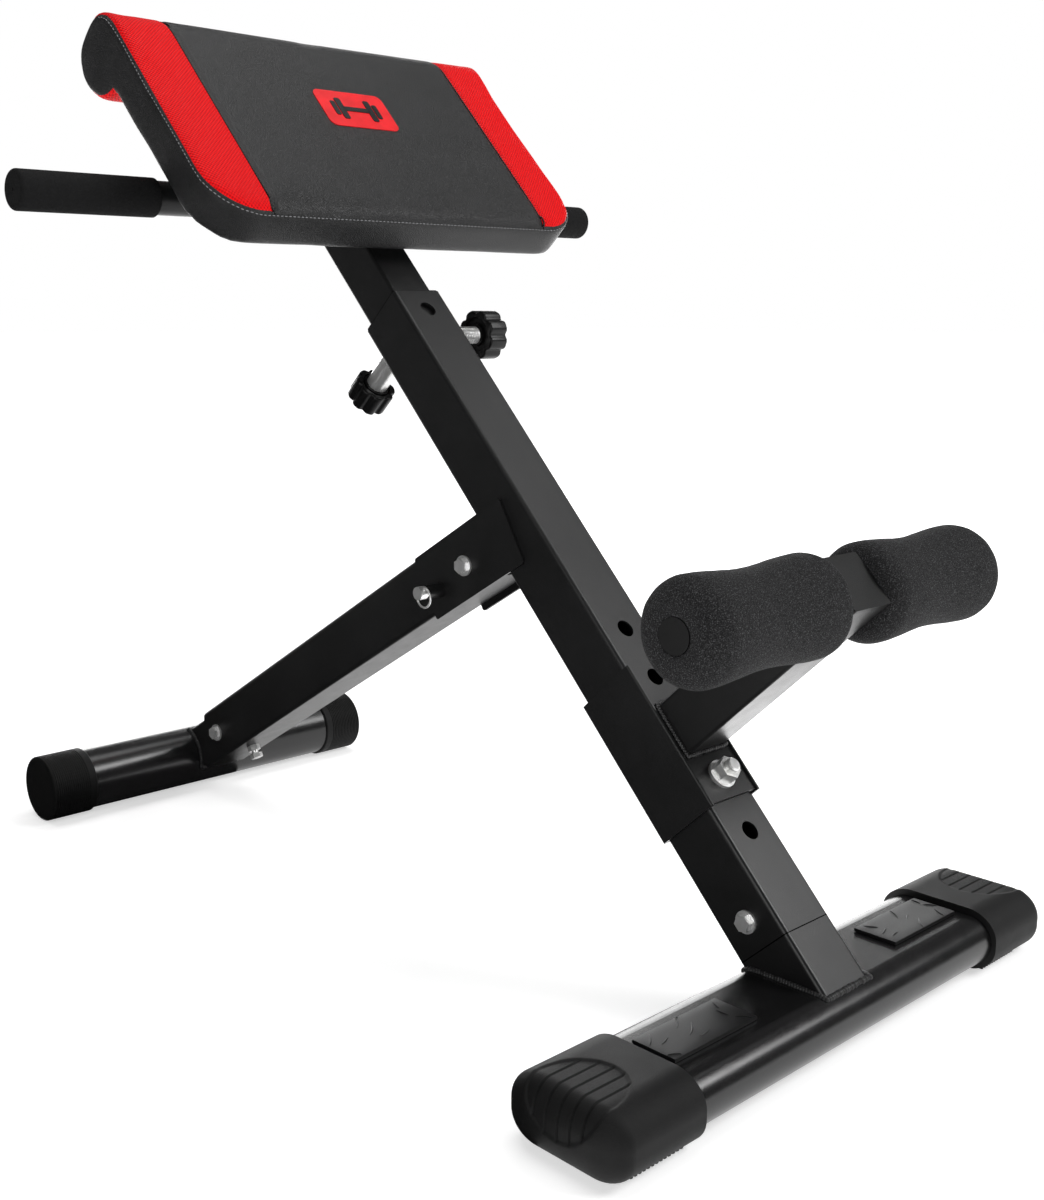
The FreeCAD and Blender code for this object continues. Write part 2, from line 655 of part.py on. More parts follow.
def make_carriage():
    outer_half = beam_half + sleeve_gap + sleeve_wall
    inner_half = beam_half + sleeve_gap
    span = (sleeve_start, sleeve_end)
    sleeve = box((-outer_half, outer_half), span, (-outer_half, flange_height))
    sleeve = rounded_along(sleeve, Vec(0, 1, 0), 2.0)
    sleeve = sleeve.cut(box((-inner_half, inner_half), span, (-inner_half, flange_height + 1)))
    save("roller_sleeve", from_beam(sleeve))
    plate = box((-inner_half, inner_half), (plate_start, plate_end), (inner_half, plate_top))
    plate = plate.cut(rod(lock_bolt_radius + pin_gap, (0, lock_bolt_at, 0), (0, lock_bolt_at, beam_size)))
    save("roller_plate", from_beam(plate))
    arm = box_tube(arm_size, arm_size, arm_wall, post_corner, (plate_top, arm_end - plug_head))
    arm.rotate(Vec(0, 0, 0), Vec(1, 0, 0), 90)
    arm.translate(Vec(0, arm_at, 0))
    arm = arm.cut(cross_rod(axle_radius, (-arm_size, arm_size), arm_at, axle_height))
    save("roller_arm", from_beam(arm))
    plug = box((-arm_size / 2, arm_size / 2), (-arm_size / 2, arm_size / 2), (arm_end - plug_head, arm_end))
    plug = rounded_along(plug, Vec(0, 0, 1), post_corner)
    insert = arm_size / 2 - arm_wall - spigot_gap
    insert_range = (axle_height + axle_radius + 1, arm_end - plug_head)
    stem = box((-insert, insert), (-insert, insert), insert_range)
    plug = plug.fuse(rounded_along(stem, Vec(0, 0, 1), post_corner - arm_wall))
    plug.translate(Vec(0, arm_at, 0))
    save("arm_plug", from_beam(plug.removeSplitter()))
    axle = cross_rod(axle_radius, (-axle_half, axle_half), arm_at, axle_height)
    bore = cross_rod(axle_radius - axle_wall, (-axle_half, axle_half), arm_at, axle_height)
    save("roller_axle", from_beam(axle.cut(bore)))
    caps = []
    for side in (-1, 1):
        head_range = sorted((side * axle_half, side * (axle_half + axle_cap)))
        stem_range = sorted((side * (axle_half - 12), side * axle_half))
        head = cross_rod(axle_cap_radius, head_range, arm_at, axle_height)
        stem = cross_rod(axle_radius - axle_wall, stem_range, arm_at, axle_height)
        caps.append(from_beam(head.fuse(stem).removeSplitter()))
    save("axle_caps", Part.makeCompound(caps))


def make_roller_lock():
    flange = upright(cross_rod(13.0, (plate_top, plate_top + 3), 0, 0))
    body = upright(hexagon(19.0, (plate_top + 3, plate_top + 14), 0, 0))
    bore = rod(lock_bolt_radius + running_gap, (0, 0, 0), (0, 0, beam_size))
    lock_nut = flange.fuse(body).removeSplitter().cut(bore)
    lock_nut.translate(Vec(0, lock_bolt_at, 0))
    save("roller_lock_nut", from_beam(lock_nut))
    bolt = rod(lock_bolt_radius, (0, lock_bolt_at, beam_half + tip_gap), (0, lock_bolt_at, lock_bolt_top))
    bolt = bolt.makeChamfer(1.2, bolt.Edges[0])
    save("roller_lock_bolt", from_beam(bolt))


def make_rollers():
    bore = axle_radius + running_gap + liner_wall
    shoulder_in = roller_start + roller_inner_round
    shoulder_out = roller_end - roller_outer_round
    bend = 1 - math.cos(math.pi / 4)
    for side, name in ((-1, "left"), (1, "right")):
        def at(x, r):
            return Vec(side * x, r, 0)
        edges = [
            Part.LineSegment(at(roller_start, bore), at(roller_start, roller_radius - roller_inner_round)),
            Part.Arc(at(roller_start, roller_radius - roller_inner_round),
                     at(roller_start + roller_inner_round * bend, roller_radius - roller_inner_round * bend),
                     at(shoulder_in, roller_radius)),
            Part.Arc(at(shoulder_in, roller_radius), at((shoulder_in + shoulder_out) / 2, roller_waist),
                     at(shoulder_out, roller_radius)),
            Part.Arc(at(shoulder_out, roller_radius),
                     at(roller_end - roller_outer_round * bend, roller_radius - roller_outer_round * bend),
                     at(roller_end, roller_radius - roller_outer_round)),
            Part.LineSegment(at(roller_end, roller_radius - roller_outer_round), at(roller_end, bore)),
            Part.LineSegment(at(roller_end, bore), at(roller_start, bore))]
        face = Part.Face(Part.Wire([edge.toShape() for edge in edges]))
        foam = face.revolve(Vec(0, 0, 0), Vec(1, 0, 0), 360)
        foam.translate(Vec(0, arm_at, axle_height))
        save("foam_roller_" + name, from_beam(foam))
        liner_range = sorted((side * (arm_size / 2 + end_gap), side * (axle_half - end_gap)))
        liner = cross_rod(bore, liner_range, arm_at, axle_height)
        liner = liner.cut(cross_rod(axle_radius + running_gap, liner_range, arm_at, axle_height))
        save("roller_liner_" + name, from_beam(liner))


os.makedirs("parts", exist_ok=True)
make_main_beam()
make_guide_bush()
make_front_socket()
make_front_foot()
make_brackets()
make_frame_fasteners()
make_pull_pin()
make_lock_pin()
make_tension_knob()
make_rear_foot()
make_strut()
make_post()
make_handle_bar()
make_pad()
make_carriage()
make_roller_lock()
make_rollers()
print("pivot", round(pivot_y, 2), round(pivot_z, 2), "strut rise", round(math.degrees(strut_rise), 3))
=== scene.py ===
import bmesh
import bpy
import json
import math
import random
import time
from mathutils import Matrix, Vector, noise
from mathutils.bvhtree import BVHTree


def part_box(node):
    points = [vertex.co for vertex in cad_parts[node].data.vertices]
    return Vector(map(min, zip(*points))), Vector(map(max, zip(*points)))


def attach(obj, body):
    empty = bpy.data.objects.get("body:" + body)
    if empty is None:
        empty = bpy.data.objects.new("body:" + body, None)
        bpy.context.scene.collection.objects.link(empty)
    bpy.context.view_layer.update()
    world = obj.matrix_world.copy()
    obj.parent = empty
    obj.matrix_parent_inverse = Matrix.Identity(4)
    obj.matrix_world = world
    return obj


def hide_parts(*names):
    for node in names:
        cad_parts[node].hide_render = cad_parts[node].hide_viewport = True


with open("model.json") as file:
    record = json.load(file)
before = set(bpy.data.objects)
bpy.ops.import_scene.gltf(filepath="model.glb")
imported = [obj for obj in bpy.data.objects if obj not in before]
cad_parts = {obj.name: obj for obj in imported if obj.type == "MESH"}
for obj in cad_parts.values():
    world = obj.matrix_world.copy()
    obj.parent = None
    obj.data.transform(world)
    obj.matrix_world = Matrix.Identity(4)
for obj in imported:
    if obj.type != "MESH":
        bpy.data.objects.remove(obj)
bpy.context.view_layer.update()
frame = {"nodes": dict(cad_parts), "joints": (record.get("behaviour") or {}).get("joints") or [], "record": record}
startTime = time.time()


def report(stage):
    print(f"{time.time() - startTime:6.1f} s  {stage}")


# ---- places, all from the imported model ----

def jointNamed(name):
    return next(j for j in frame["joints"] if j["name"] == name)


def boxOf(node):
    # Lowest corner, highest corner and centre of a CAD node
    low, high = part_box(node)
    return low, high, (low + high) / 2


def framed(across, along, out, origin):
    # A matrix that takes (x, along, out) to the row frame
    axes = Matrix((across, along, out)).transposed().to_4x4()
    return Matrix.Translation(origin) @ axes


right = Vector((1, 0, 0))
upBeam = Vector(jointNamed("post_slide")["axis"])
outBeam = Vector(jointNamed("roller_lock_bolt_slide")["axis"])
knobAlong = 0.774   # where the tension screw crosses the beam, measured from the floor
beamFoot = Vector(jointNamed("tension_knob_turn")["pos_m"]) - upBeam * knobAlong
beamFrame = framed(right, upBeam, outBeam, beamFoot)

rollerAxis = Vector(jointNamed("roller_left_spin")["pos_m"])
rearCentre = boxOf("rear_base_tube")[2]
rearCentre.x = 0
strutPivot = Vector(jointNamed("strut_fold")["pos_m"])
pivotDrop = 0.0055   # the pivot lies this far under the strut's middle line
strutReach = (strutPivot - rearCentre).length
strutRise = math.atan2(strutPivot.z - rearCentre.z, rearCentre.y - strutPivot.y)
strutRise += math.asin(pivotDrop / strutReach)
upStrut = Vector((0, -math.cos(strutRise), math.sin(strutRise)))
overStrut = Vector((0, math.sin(strutRise), math.cos(strutRise)))
strutFrame = framed(right, upStrut, overStrut, rearCentre)


def beamSpan(node):
    # Lowest and highest corner of a CAD node in the beam's own frame
    inverse = beamFrame.inverted()
    points = [inverse @ v.co for v in frame["nodes"][node].data.vertices]
    low = Vector([min(p[i] for p in points) for i in range(3)])
    high = Vector([max(p[i] for p in points) for i in range(3)])
    return low, high


# ---- camera, light and floor ----

studio = {
    "cameraPlace": (-0.97128, -1.0857, 0.58531),
    "cameraTurn": -43.02,
    "cameraTilt": -10.77,
    "lens": 44.06,
    "shift": (0.0373, -0.0066),
    "floorWhite": 0.9,
    "floorReach": 40,
    "floorFade": (0.7, 2.6, 0.55, 1.1),   # distances where the glow starts and is full, and its strengths
    "skyLight": 0.12,
    # Cards seen only in reflections: dark ones keep the left faces deep black, bright ones
    # light the undersides and lay a sheen on the flat tops. Corner, two sides, shade, glow
    "cards": {
        "leftCard": ((-0.85, 0.1, 0.01), (0, 1.7, 0), (0, 0, 0.89), 0.004, 0),
        "leftFloorCard": ((-0.84, -0.42, 0.003), (0.88, 0, 0), (0, 2.22, 0), 0.004, 0),
        "lowCard": ((0.03, -0.42, 0.004), (0.47, 0, 0), (0, 0.3, 0), 0.8, 2.6),
        "backCard": ((0.6, 4.2, 0.1), (3.8, -2.6, 0), (0, 0, 1.4), 0.8, 3.2),
        "frontCard": ((1.15, -0.75, 2.1), (0, 0.6, 0), (0.45, 0, -0.2), 0.8, 0.9),
    },
    # Place, target, size, power
    "lights": {
        "keyLight": ((2.0, -2.4, 2.6), (0, 0, 0.4), 1.6, 75),
        "topLight": ((0.2, 0.3, 3.2), (0, 0, 0), 2.4, 45),
        "fillLight": ((-3.0, -1.4, 1.3), (0, 0, 0.4), 1.4, 24),
        "rimLight": ((2.2, 2.2, 1.6), (0, 0, 0.4), 1.2, 10),
    },
}


def linked(name, data):
    thing = bpy.data.objects.new(name, data)
    bpy.context.scene.collection.objects.link(thing)
    return thing


def makeCamera():
    camera = linked("camera", bpy.data.cameras.new("camera"))
    turn, tilt = math.radians(studio["cameraTurn"]), math.radians(studio["cameraTilt"])
    look = Vector((-math.sin(turn) * math.cos(tilt), math.cos(turn) * math.cos(tilt), math.sin(tilt)))
    camera.location = studio["cameraPlace"]
    camera.rotation_euler = look.to_track_quat("-Z", "Y").to_euler()
    camera.data.lens = studio["lens"]
    camera.data.sensor_width = 36
    camera.data.shift_x, camera.data.shift_y = studio["shift"]
    camera.data.clip_start = 0.01
    camera.data.clip_end = 60
    bpy.context.scene.camera = camera


def areaLight(name, place, target, size, power):
    light = linked(name, bpy.data.lights.new(name, "AREA"))
    light.data.shape = "SQUARE"
    light.data.size = size
    light.data.energy = power
    light.location = place
    light.rotation_euler = (Vector(target) - Vector(place)).to_track_quat("-Z", "Y").to_euler()
    light.visible_camera = False


def stagePlane(name, corner, first, second, shade, glow=0):
    # A four-sided plane from one corner and two sides
    corner, first, second = Vector(corner), Vector(first), Vector(second)
    mesh = bpy.data.meshes.new(name)
    mesh.from_pydata([corner, corner + first, corner + first + second, corner + second], [], [(0, 1, 2, 3)])
    plane = linked(name, mesh)
    material = newMaterial(name, (shade, shade, shade), 0.9, specular=0.1)
    shaderOf(material).inputs["Emission Color"].default_value = (1, 1, 1, 1)
    shaderOf(material).inputs["Emission Strength"].default_value = glow
    mesh.materials.append(material)
    return plane


def glowFloor(material):
    # The floor glows towards its far parts, so that it meets the white backdrop with no line
    away = addNode(material, "ShaderNodeVectorMath", operation="LENGTH")
    join(material, objectPlace(material), away.inputs[0])
    fade = addNode(material, "ShaderNodeMapRange", interpolation_type="SMOOTHSTEP")
    for label, value in zip(("From Min", "From Max", "To Min", "To Max"), studio["floorFade"]):
        fade.inputs[label].default_value = value
    join(material, away.outputs["Value"], fade.inputs["Value"])
    join(material, fade.outputs["Result"], shaderOf(material).inputs["Emission Strength"])


def makeSky():
    # White to the camera, dim as a light
    world = bpy.data.worlds.new("studio")
    bpy.context.scene.world = world
    world.use_nodes = True
    tree = world.node_tree
    seen = tree.nodes["Background"]
    dim = tree.nodes.new("ShaderNodeBackground")
    for sky in (seen, dim):
        sky.inputs["Color"].default_value = (1, 1, 1, 1)
    dim.inputs["Strength"].default_value = studio["skyLight"]
    rays = tree.nodes.new("ShaderNodeLightPath")
    mix = tree.nodes.new("ShaderNodeMixShader")
    for number, source in enumerate((rays.outputs["Is Camera Ray"], dim.outputs[0], seen.outputs[0])):
        tree.links.new(source, mix.inputs[number])
    tree.links.new(mix.outputs[0], tree.nodes["World Output"].inputs["Surface"])


def makeStudio():
    makeSky()
    reach = studio["floorReach"]
    floor = stagePlane("floor", (-reach, -reach, 0), (2 * reach, 0, 0), (0, 2 * reach, 0), studio["floorWhite"])
    glowFloor(floor.data.materials[0])
    for name, settings in studio["cards"].items():
        card = stagePlane(name, *settings)
        card.visible_camera = False
        card.visible_shadow = False
        card.visible_diffuse = False
    for name, settings in studio["lights"].items():
        areaLight(name, *settings)
    bpy.context.scene.view_settings.view_transform = "Standard"


# ---- materials ----

def newMaterial(name, color, roughness, metallic=0.0, specular=0.5):
    material = bpy.data.materials.new(name)
    material.use_nodes = True
    values = {"Base Color": (*color, 1), "Roughness": roughness, "Metallic": metallic,
              "Specular IOR Level": specular}
    for label, value in values.items():
        shaderOf(material).inputs[label].default_value = value
    return material


def addNode(material, kind, **settings):
    node = material.node_tree.nodes.new(kind)
    for key, value in settings.items():
        setattr(node, key, value)
    return node


def join(material, source, target):
    material.node_tree.links.new(source, target)


def shaderOf(material):
    return material.node_tree.nodes["Principled BSDF"]


def objectPlace(material):
    return addNode(material, "ShaderNodeTexCoord").outputs["Object"]


def noiseOf(material, place, scale, detail=2.0, roughness=0.5):
    node = addNode(material, "ShaderNodeTexNoise")
    node.inputs["Scale"].default_value = scale
    node.inputs["Detail"].default_value = detail
    node.inputs["Roughness"].default_value = roughness
    join(material, place, node.inputs["Vector"])
    return node.outputs["Fac"]


def ramp(material, value, stops):
    node = addNode(material, "ShaderNodeValToRGB")
    while len(node.color_ramp.elements) > len(stops):
        node.color_ramp.elements.remove(node.color_ramp.elements[-1])
    while len(node.color_ramp.elements) < len(stops):
        node.color_ramp.elements.new(0.5)
    for element, (at, color) in zip(node.color_ramp.elements, stops):
        element.position = at
        element.color = (*color, 1)
    join(material, value, node.inputs["Fac"])
    return node.outputs["Color"]


def setTint(material, value, stops):
    join(material, ramp(material, value, stops), shaderOf(material).inputs["Base Color"])


def spread(material, value, low, high):
    # Maps 0..1 to a roughness or height range
    node = addNode(material, "ShaderNodeMapRange")
    node.inputs["To Min"].default_value = low
    node.inputs["To Max"].default_value = high
    join(material, value, node.inputs["Value"])
    return node.outputs["Result"]


def setRoughness(material, value, low, high):
    join(material, spread(material, value, low, high), shaderOf(material).inputs["Roughness"])


def calc(material, operation, first, second=None):
    node = addNode(material, "ShaderNodeMath", operation=operation)
    for socket, value in zip(node.inputs, (first, second)):
        if value is None:
            continue
        if isinstance(value, (int, float)):
            socket.default_value = value
        else:
            join(material, value, socket)
    return node.outputs["Value"]


def addBump(material, height, distance, strength=1.0, under=None):
    node = addNode(material, "ShaderNodeBump")
    node.inputs["Strength"].default_value = strength
    node.inputs["Distance"].default_value = distance
    join(material, height, node.inputs["Height"])
    if under is not None:
        join(material, under, node.inputs["Normal"])
    join(material, node.outputs["Normal"], shaderOf(material).inputs["Normal"])
    return node.outputs["Normal"]


def grey(value):
    return (value, value, value * 1.04)


def paintMaterial(name, shade, roughness, orangePeel, specular):
    # Sprayed or powder-coated steel: fine orange peel, faint cloudiness, roughness that wanders
    material = newMaterial(name, grey(shade), roughness, specular=specular)
    place = objectPlace(material)
    cloud = noiseOf(material, place, 14, 3)
    setTint(material, cloud, [(0.3, grey(shade * 0.8)), (0.7, grey(shade * 1.25))])
    setRoughness(material, noiseOf(material, place, 60, 3), roughness - 0.05, roughness + 0.07)
    addBump(material, noiseOf(material, place, 1100, 2, 0.6), orangePeel)
    return material


def rubberMaterial(name, shade, roughness, grain, depth):
    material = newMaterial(name, grey(shade), roughness, specular=0.24)
    place = objectPlace(material)
    cloud = noiseOf(material, place, 30, 4)
    setTint(material, cloud, [(0.3, grey(shade * 0.75)), (0.7, grey(shade * 1.3))])
    setRoughness(material, cloud, roughness - 0.08, roughness + 0.06)
    addBump(material, noiseOf(material, place, grain, 3, 0.7), depth)
    return material


def foamMaterial(name, scale, dark, middling, pale):
    # Closed-cell foam: tiny pale cells over near black
    material = newMaterial(name, grey(middling), 0.85, specular=0.15)
    place = objectPlace(material)
    cells = noiseOf(material, place, scale, 3, 0.7)
    setTint(material, cells, [(0.36, grey(dark)), (0.54, grey(middling)), (0.68, grey(pale))])
    first = addBump(material, cells, 0.0005)
    addBump(material, noiseOf(material, place, 420, 2), 0.0005, under=first)
    return material


def metalMaterial(name, shade, roughness, streak):
    material = newMaterial(name, (shade, shade, shade * 0.98), roughness, metallic=0.85)
    place = objectPlace(material)
    blotch = noiseOf(material, place, 120, 3)
    dull, clear = (shade * 0.9, shade * 0.9, shade * 0.88), (shade, shade, shade)
    setTint(material, blotch, [(0.3, dull), (0.7, clear)])
    setRoughness(material, blotch, roughness - 0.03, roughness + 0.04)
    addBump(material, noiseOf(material, place, 1500, 2), streak)
    return material


def threadMaterial():
    material = newMaterial("stitchThread", (0.2, 0.2, 0.21), 0.75)
    strand = noiseOf(material, objectPlace(material), 2600, 2)
    setTint(material, strand, [(0.3, grey(0.13)), (0.7, grey(0.3))])
    addBump(material, strand, 0.0002)
    return material


def clothMaterial():
    # Black woven lining on the pad's board
    material = newMaterial("boardCloth", grey(0.02), 0.9)
    parts = addNode(material, "ShaderNodeSeparateXYZ")
    join(material, objectPlace(material), parts.inputs[0])
    warp = calc(material, "SINE", calc(material, "MULTIPLY", parts.outputs["X"], 3500))
    weft = calc(material, "SINE", calc(material, "MULTIPLY", parts.outputs["Y"], 4200))
    height = spread(material, calc(material, "MULTIPLY", warp, weft), 0.0, 1.0)
    setTint(material, height, [(0.2, grey(0.012)), (0.8, grey(0.035))])
    addBump(material, height, 0.0002)
    return material


def shadowMaterial():
    material = newMaterial("seamShadow", (0.0, 0.0, 0.0), 1.0, specular=0.0)
    cloud = noiseOf(material, objectPlace(material), 80, 2)
    setTint(material, cloud, [(0.3, grey(0.0)), (0.7, grey(0.001))])
    return material


def badgeMaterial():
    material = rubberMaterial("badgeRed", 0.5, 0.45, 900, 0.0001)
    cloud = noiseOf(material, objectPlace(material), 60, 3)
    setTint(material, cloud, [(0.3, (0.66, 0.004, 0.008)), (0.7, (0.82, 0.006, 0.012))])
    return material


def leatherGrain(material, place):
    # Pebbled grain of synthetic leather: cell walls plus soft noise
    cells = addNode(material, "ShaderNodeTexVoronoi", feature="DISTANCE_TO_EDGE")
    cells.inputs["Scale"].default_value = 620
    join(material, place, cells.inputs["Vector"])
    walls = calc(material, "MINIMUM", calc(material, "MULTIPLY", cells.outputs["Distance"], 5.0), 1.0)
    return calc(material, "ADD", walls, calc(material, "MULTIPLY", noiseOf(material, place, 240, 3), 0.8))


cover = {
    "red": (0.84, 0.002, 0.004),
    "redShade": (0.63, 0.002, 0.004),
    "redHole": (0.36, 0.0, 0.004),
    "black": (0.009, 0.014),
    # Painted shade: tone of the dark line drawn along each sewn seam's crease
    "seam": 0.006,
    "roughness": (0.36, 0.46),
    "redRoughness": 0.14,    # added on the mesh
    "shine": 0.32,
    "redShine": 0.22,        # taken off on the mesh
    "grainDepth": 0.00022,
    "weaveDepth": 0.0006,
}


def coverMaterial():
    # One cover: black grained vinyl, with red dotted mesh beyond the panel seams on the top side only, and painted
    # shade drawn as a dark line along each of those seams
    material = newMaterial("padCover", grey(0.02), 0.42, specular=0.3)
    inputs = shaderOf(material).inputs

    def times(first, second):
        return calc(material, "MULTIPLY", first, second)

    def splitOf(vector):
        parts = addNode(material, "ShaderNodeSeparateXYZ")
        join(material, vector, parts.inputs[0])
        return parts.outputs

    def blend(share, first, second):
        mix = addNode(material, "ShaderNodeMix", data_type="RGBA")
        join(material, share, mix.inputs["Factor"])
        join(material, first, mix.inputs["A"])
        if isinstance(second, tuple):
            mix.inputs["B"].default_value = (*second, 1)
        else:
            join(material, second, mix.inputs["B"])
        return mix.outputs["Result"]

    place = objectPlace(material)
    across = calc(material, "ABSOLUTE", splitOf(place)["X"])
    beyondSeam = calc(material, "GREATER_THAN", across, cushion["panelSeam"])
    side = addNode(material, "ShaderNodeAttribute", attribute_name="topSide")
    onTop = calc(material, "GREATER_THAN", side.outputs["Fac"], 0.0)
    isRed = times(beyondSeam, onTop)
    skin = splitOf(addNode(material, "ShaderNodeUVMap", uv_map="skin").outputs["UV"])
    turn = 2 * math.pi / cushion["dotPitch"]
    rows, columns = [calc(material, "SINE", times(skin[label], turn)) for label in ("X", "Y")]
    dots = spread(material, times(rows, columns), 0.0, 1.0)
    dots.node.inputs["From Min"].default_value = -1.0
    cloud = noiseOf(material, place, 25, 3)
    mesh = ramp(material, dots, [(0.0, cover["redHole"]), (0.4, cover["redShade"]), (0.62, cover["red"])])
    vinyl = ramp(material, cloud, [(at, grey(shade)) for at, shade in zip((0.3, 0.7), cover["black"])])
    panels = blend(isRed, vinyl, mesh)
    # Painted shade: a line darker than the black vinyl is drawn along each sewn seam on the top side, where the
    # crease between the panels lies in shade
    fromSeam = calc(material, "ABSOLUTE", calc(material, "SUBTRACT", across, cushion["panelSeam"]))
    line = times(calc(material, "LESS_THAN", fromSeam, cushion["seamLine"]), onTop)
    join(material, blend(line, panels, grey(cover["seam"])), inputs["Base Color"])
    rough = calc(material, "ADD", times(isRed, cover["redRoughness"]), spread(material, cloud, *cover["roughness"]))
    join(material, rough, inputs["Roughness"])
    shine = calc(material, "SUBTRACT", cover["shine"], times(isRed, cover["redShine"]))
    join(material, shine, inputs["Specular IOR Level"])
    grain = times(leatherGrain(material, place), calc(material, "SUBTRACT", 1.0, isRed))
    first = addBump(material, grain, cover["grainDepth"])
    addBump(material, times(dots, isRed), cover["weaveDepth"], under=first)
    return material


# ---- mesh helpers ----

def pieceFrom(name, points, faces, matrix=Matrix.Identity(4), smooth=True, material=None):
    mesh = bpy.data.meshes.new(name)
    mesh.from_pydata([matrix @ Vector(p) for p in points], [], faces)
    build = bmesh.new()
    build.from_mesh(mesh)
    bmesh.ops.remove_doubles(build, verts=build.verts, dist=1e-6)
    bmesh.ops.recalc_face_normals(build, faces=build.faces)
    build.to_mesh(mesh)
    build.free()
    piece = linked(name, mesh)
    for face in mesh.polygons:
        face.use_smooth = smooth
    if material:
        mesh.materials.append(material)
    return piece


def bandFaces(first, second, count):
    # Quads between two rings of points, given by where each ring starts
    return [(first + i, second + i, second + (i + 1) % count, first + (i + 1) % count) for i in range(count)]


def lathe(profile, steps, radiusAt=None):
    # profile holds (along x, radius); a closed loop unless it starts and ends on the axis
    points, faces = [], []
    onAxis = profile[0][1] == 0 and profile[-1][1] == 0
    for x, radius in profile:
        for step in range(steps):
            angle = 2 * math.pi * step / steps
            reach = radiusAt(x, radius, angle) if radiusAt else radius
            points.append((x, reach * math.cos(angle), reach * math.sin(angle)))
    rings = len(profile)
    for ring in range(rings - 1 if onAxis else rings):
        faces += bandFaces(ring * steps, (ring + 1) % rings * steps, steps)
    return points, faces


def mirrored(side, place):
    # Puts a piece that was made for the right side in its place, turned over for the left side
    return Matrix.Translation(place) @ Matrix.Scale(side, 4, right)


def arcPoints(centre, radius, start, end, count):
    # Round stretch of a profile, angles in degrees
    points = []
    for step in range(count + 1):
        angle = math.radians(start + (end - start) * step / count)
        points.append((centre[0] + radius * math.cos(angle), centre[1] + radius * math.sin(angle)))
    return points


def sharpen(piece, degrees):
    # Smooth shading that keeps edges over an angle crisp
    limit = math.radians(degrees)
    build = bmesh.new()
    build.from_mesh(piece.data)
    for edge in build.edges:
        edge.smooth = len(edge.link_faces) == 2 and edge.calc_face_angle(0) < limit
    build.to_mesh(piece.data)
    build.free()


def baked(piece):
    # Applies modifiers by taking the evaluated mesh
    bpy.context.view_layer.update()
    graph = bpy.context.evaluated_depsgraph_get()
    whole = piece.evaluated_get(graph)
    mesh = bpy.data.meshes.new_from_object(whole, preserve_all_data_layers=True, depsgraph=graph)
    old = piece.data
    piece.modifiers.clear()
    piece.data = mesh
    bpy.data.meshes.remove(old)
    return piece


def finishPiece(piece, body, slotName, *nodes):
    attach(piece, body)
    if nodes:
        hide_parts(*nodes)
    return piece


# ---- geometry nodes: beads, stitches and ribs placed along a path ----

beadInputs = (("Spacing", 0.003), ("Length", 0.0022), ("Width", 0.0006), ("Height", 0.0006), ("Jitter", 0.0))


def alongPathTree(name, material, roundShape):
    # Resamples the path, puts one bead per point turned to the path's direction, and joins them
    tree = bpy.data.node_groups.new(name, "GeometryNodeTree")
    tree.interface.new_socket("Geometry", in_out="INPUT", socket_type="NodeSocketGeometry")
    for label, value in beadInputs:
        socket = tree.interface.new_socket(label, in_out="INPUT", socket_type="NodeSocketFloat")
        socket.default_value = value
    tree.interface.new_socket("Geometry", in_out="OUTPUT", socket_type="NodeSocketGeometry")
    make = tree.nodes.new
    entry = make("NodeGroupInput")
    leave = make("NodeGroupOutput")
    toCurve = make("GeometryNodeMeshToCurve")
    resample = make("GeometryNodeResampleCurve")
    resample.mode = "LENGTH"
    tangent = make("GeometryNodeInputTangent")
    turn = make("FunctionNodeAlignRotationToVector")
    turn.axis = "X"
    if roundShape:
        bead = make("GeometryNodeMeshIcoSphere")
        bead.inputs["Radius"].default_value = 0.5
        bead.inputs["Subdivisions"].default_value = 2
    else:
        bead = make("GeometryNodeMeshCube")
    scale = make("ShaderNodeCombineXYZ")
    wobble = make("FunctionNodeRandomValue")
    wobble.data_type = "FLOAT"
    wobble.inputs["Seed"].default_value = 11
    wobble.inputs["Max"].default_value = 1.0
    lowest = make("ShaderNodeMath")
    lowest.operation = "SUBTRACT"
    lowest.inputs[0].default_value = 1.0
    sized = make("ShaderNodeVectorMath")
    sized.operation = "SCALE"
    place = make("GeometryNodeInstanceOnPoints")
    real = make("GeometryNodeRealizeInstances")
    smooth = make("GeometryNodeSetShadeSmooth")
    smooth.inputs["Shade Smooth"].default_value = roundShape
    coat = make("GeometryNodeSetMaterial")
    coat.inputs["Material"].default_value = material
    links = (
        (entry, "Geometry", toCurve, "Mesh"), (toCurve, "Curve", resample, "Curve"),
        (entry, "Spacing", resample, "Length"), (tangent, "Tangent", turn, "Vector"),
        (entry, "Length", scale, "X"), (entry, "Width", scale, "Y"), (entry, "Height", scale, "Z"),
        (entry, "Jitter", lowest, 1), (lowest, 0, wobble, "Min"),
        (scale, "Vector", sized, 0), (wobble, "Value", sized, "Scale"),
        (resample, "Curve", place, "Points"), (bead, "Mesh", place, "Instance"),
        (turn, "Rotation", place, "Rotation"), (sized, "Vector", place, "Scale"),
        (place, "Instances", real, "Geometry"), (real, "Geometry", smooth, "Geometry"),
        (smooth, "Geometry", coat, "Geometry"), (coat, "Geometry", leave, "Geometry"),
    )
    for source, output, target, entrance in links:
        tree.links.new(source.outputs[output], target.inputs[entrance])
    return tree


def beadsAlong(name, paths, tree, sizes, body, slotName):
    # One piece of beads along several open paths, each a list of points
    mesh = bpy.data.meshes.new(name)
    points, edges = [], []
    for path in paths:
        start = len(points)
        points += path
        edges += [(start + i, start + i + 1) for i in range(len(path) - 1)]
    mesh.from_pydata(points, edges, [])
    piece = linked(name, mesh)
    modifier = piece.modifiers.new("beads", "NODES")
    modifier.node_group = tree
    for item in tree.interface.items_tree:
        if item.in_out == "INPUT" and item.name in sizes:
            modifier[item.identifier] = sizes[item.name]
    return finishPiece(baked(piece), body, slotName)


# ---- the pad ----

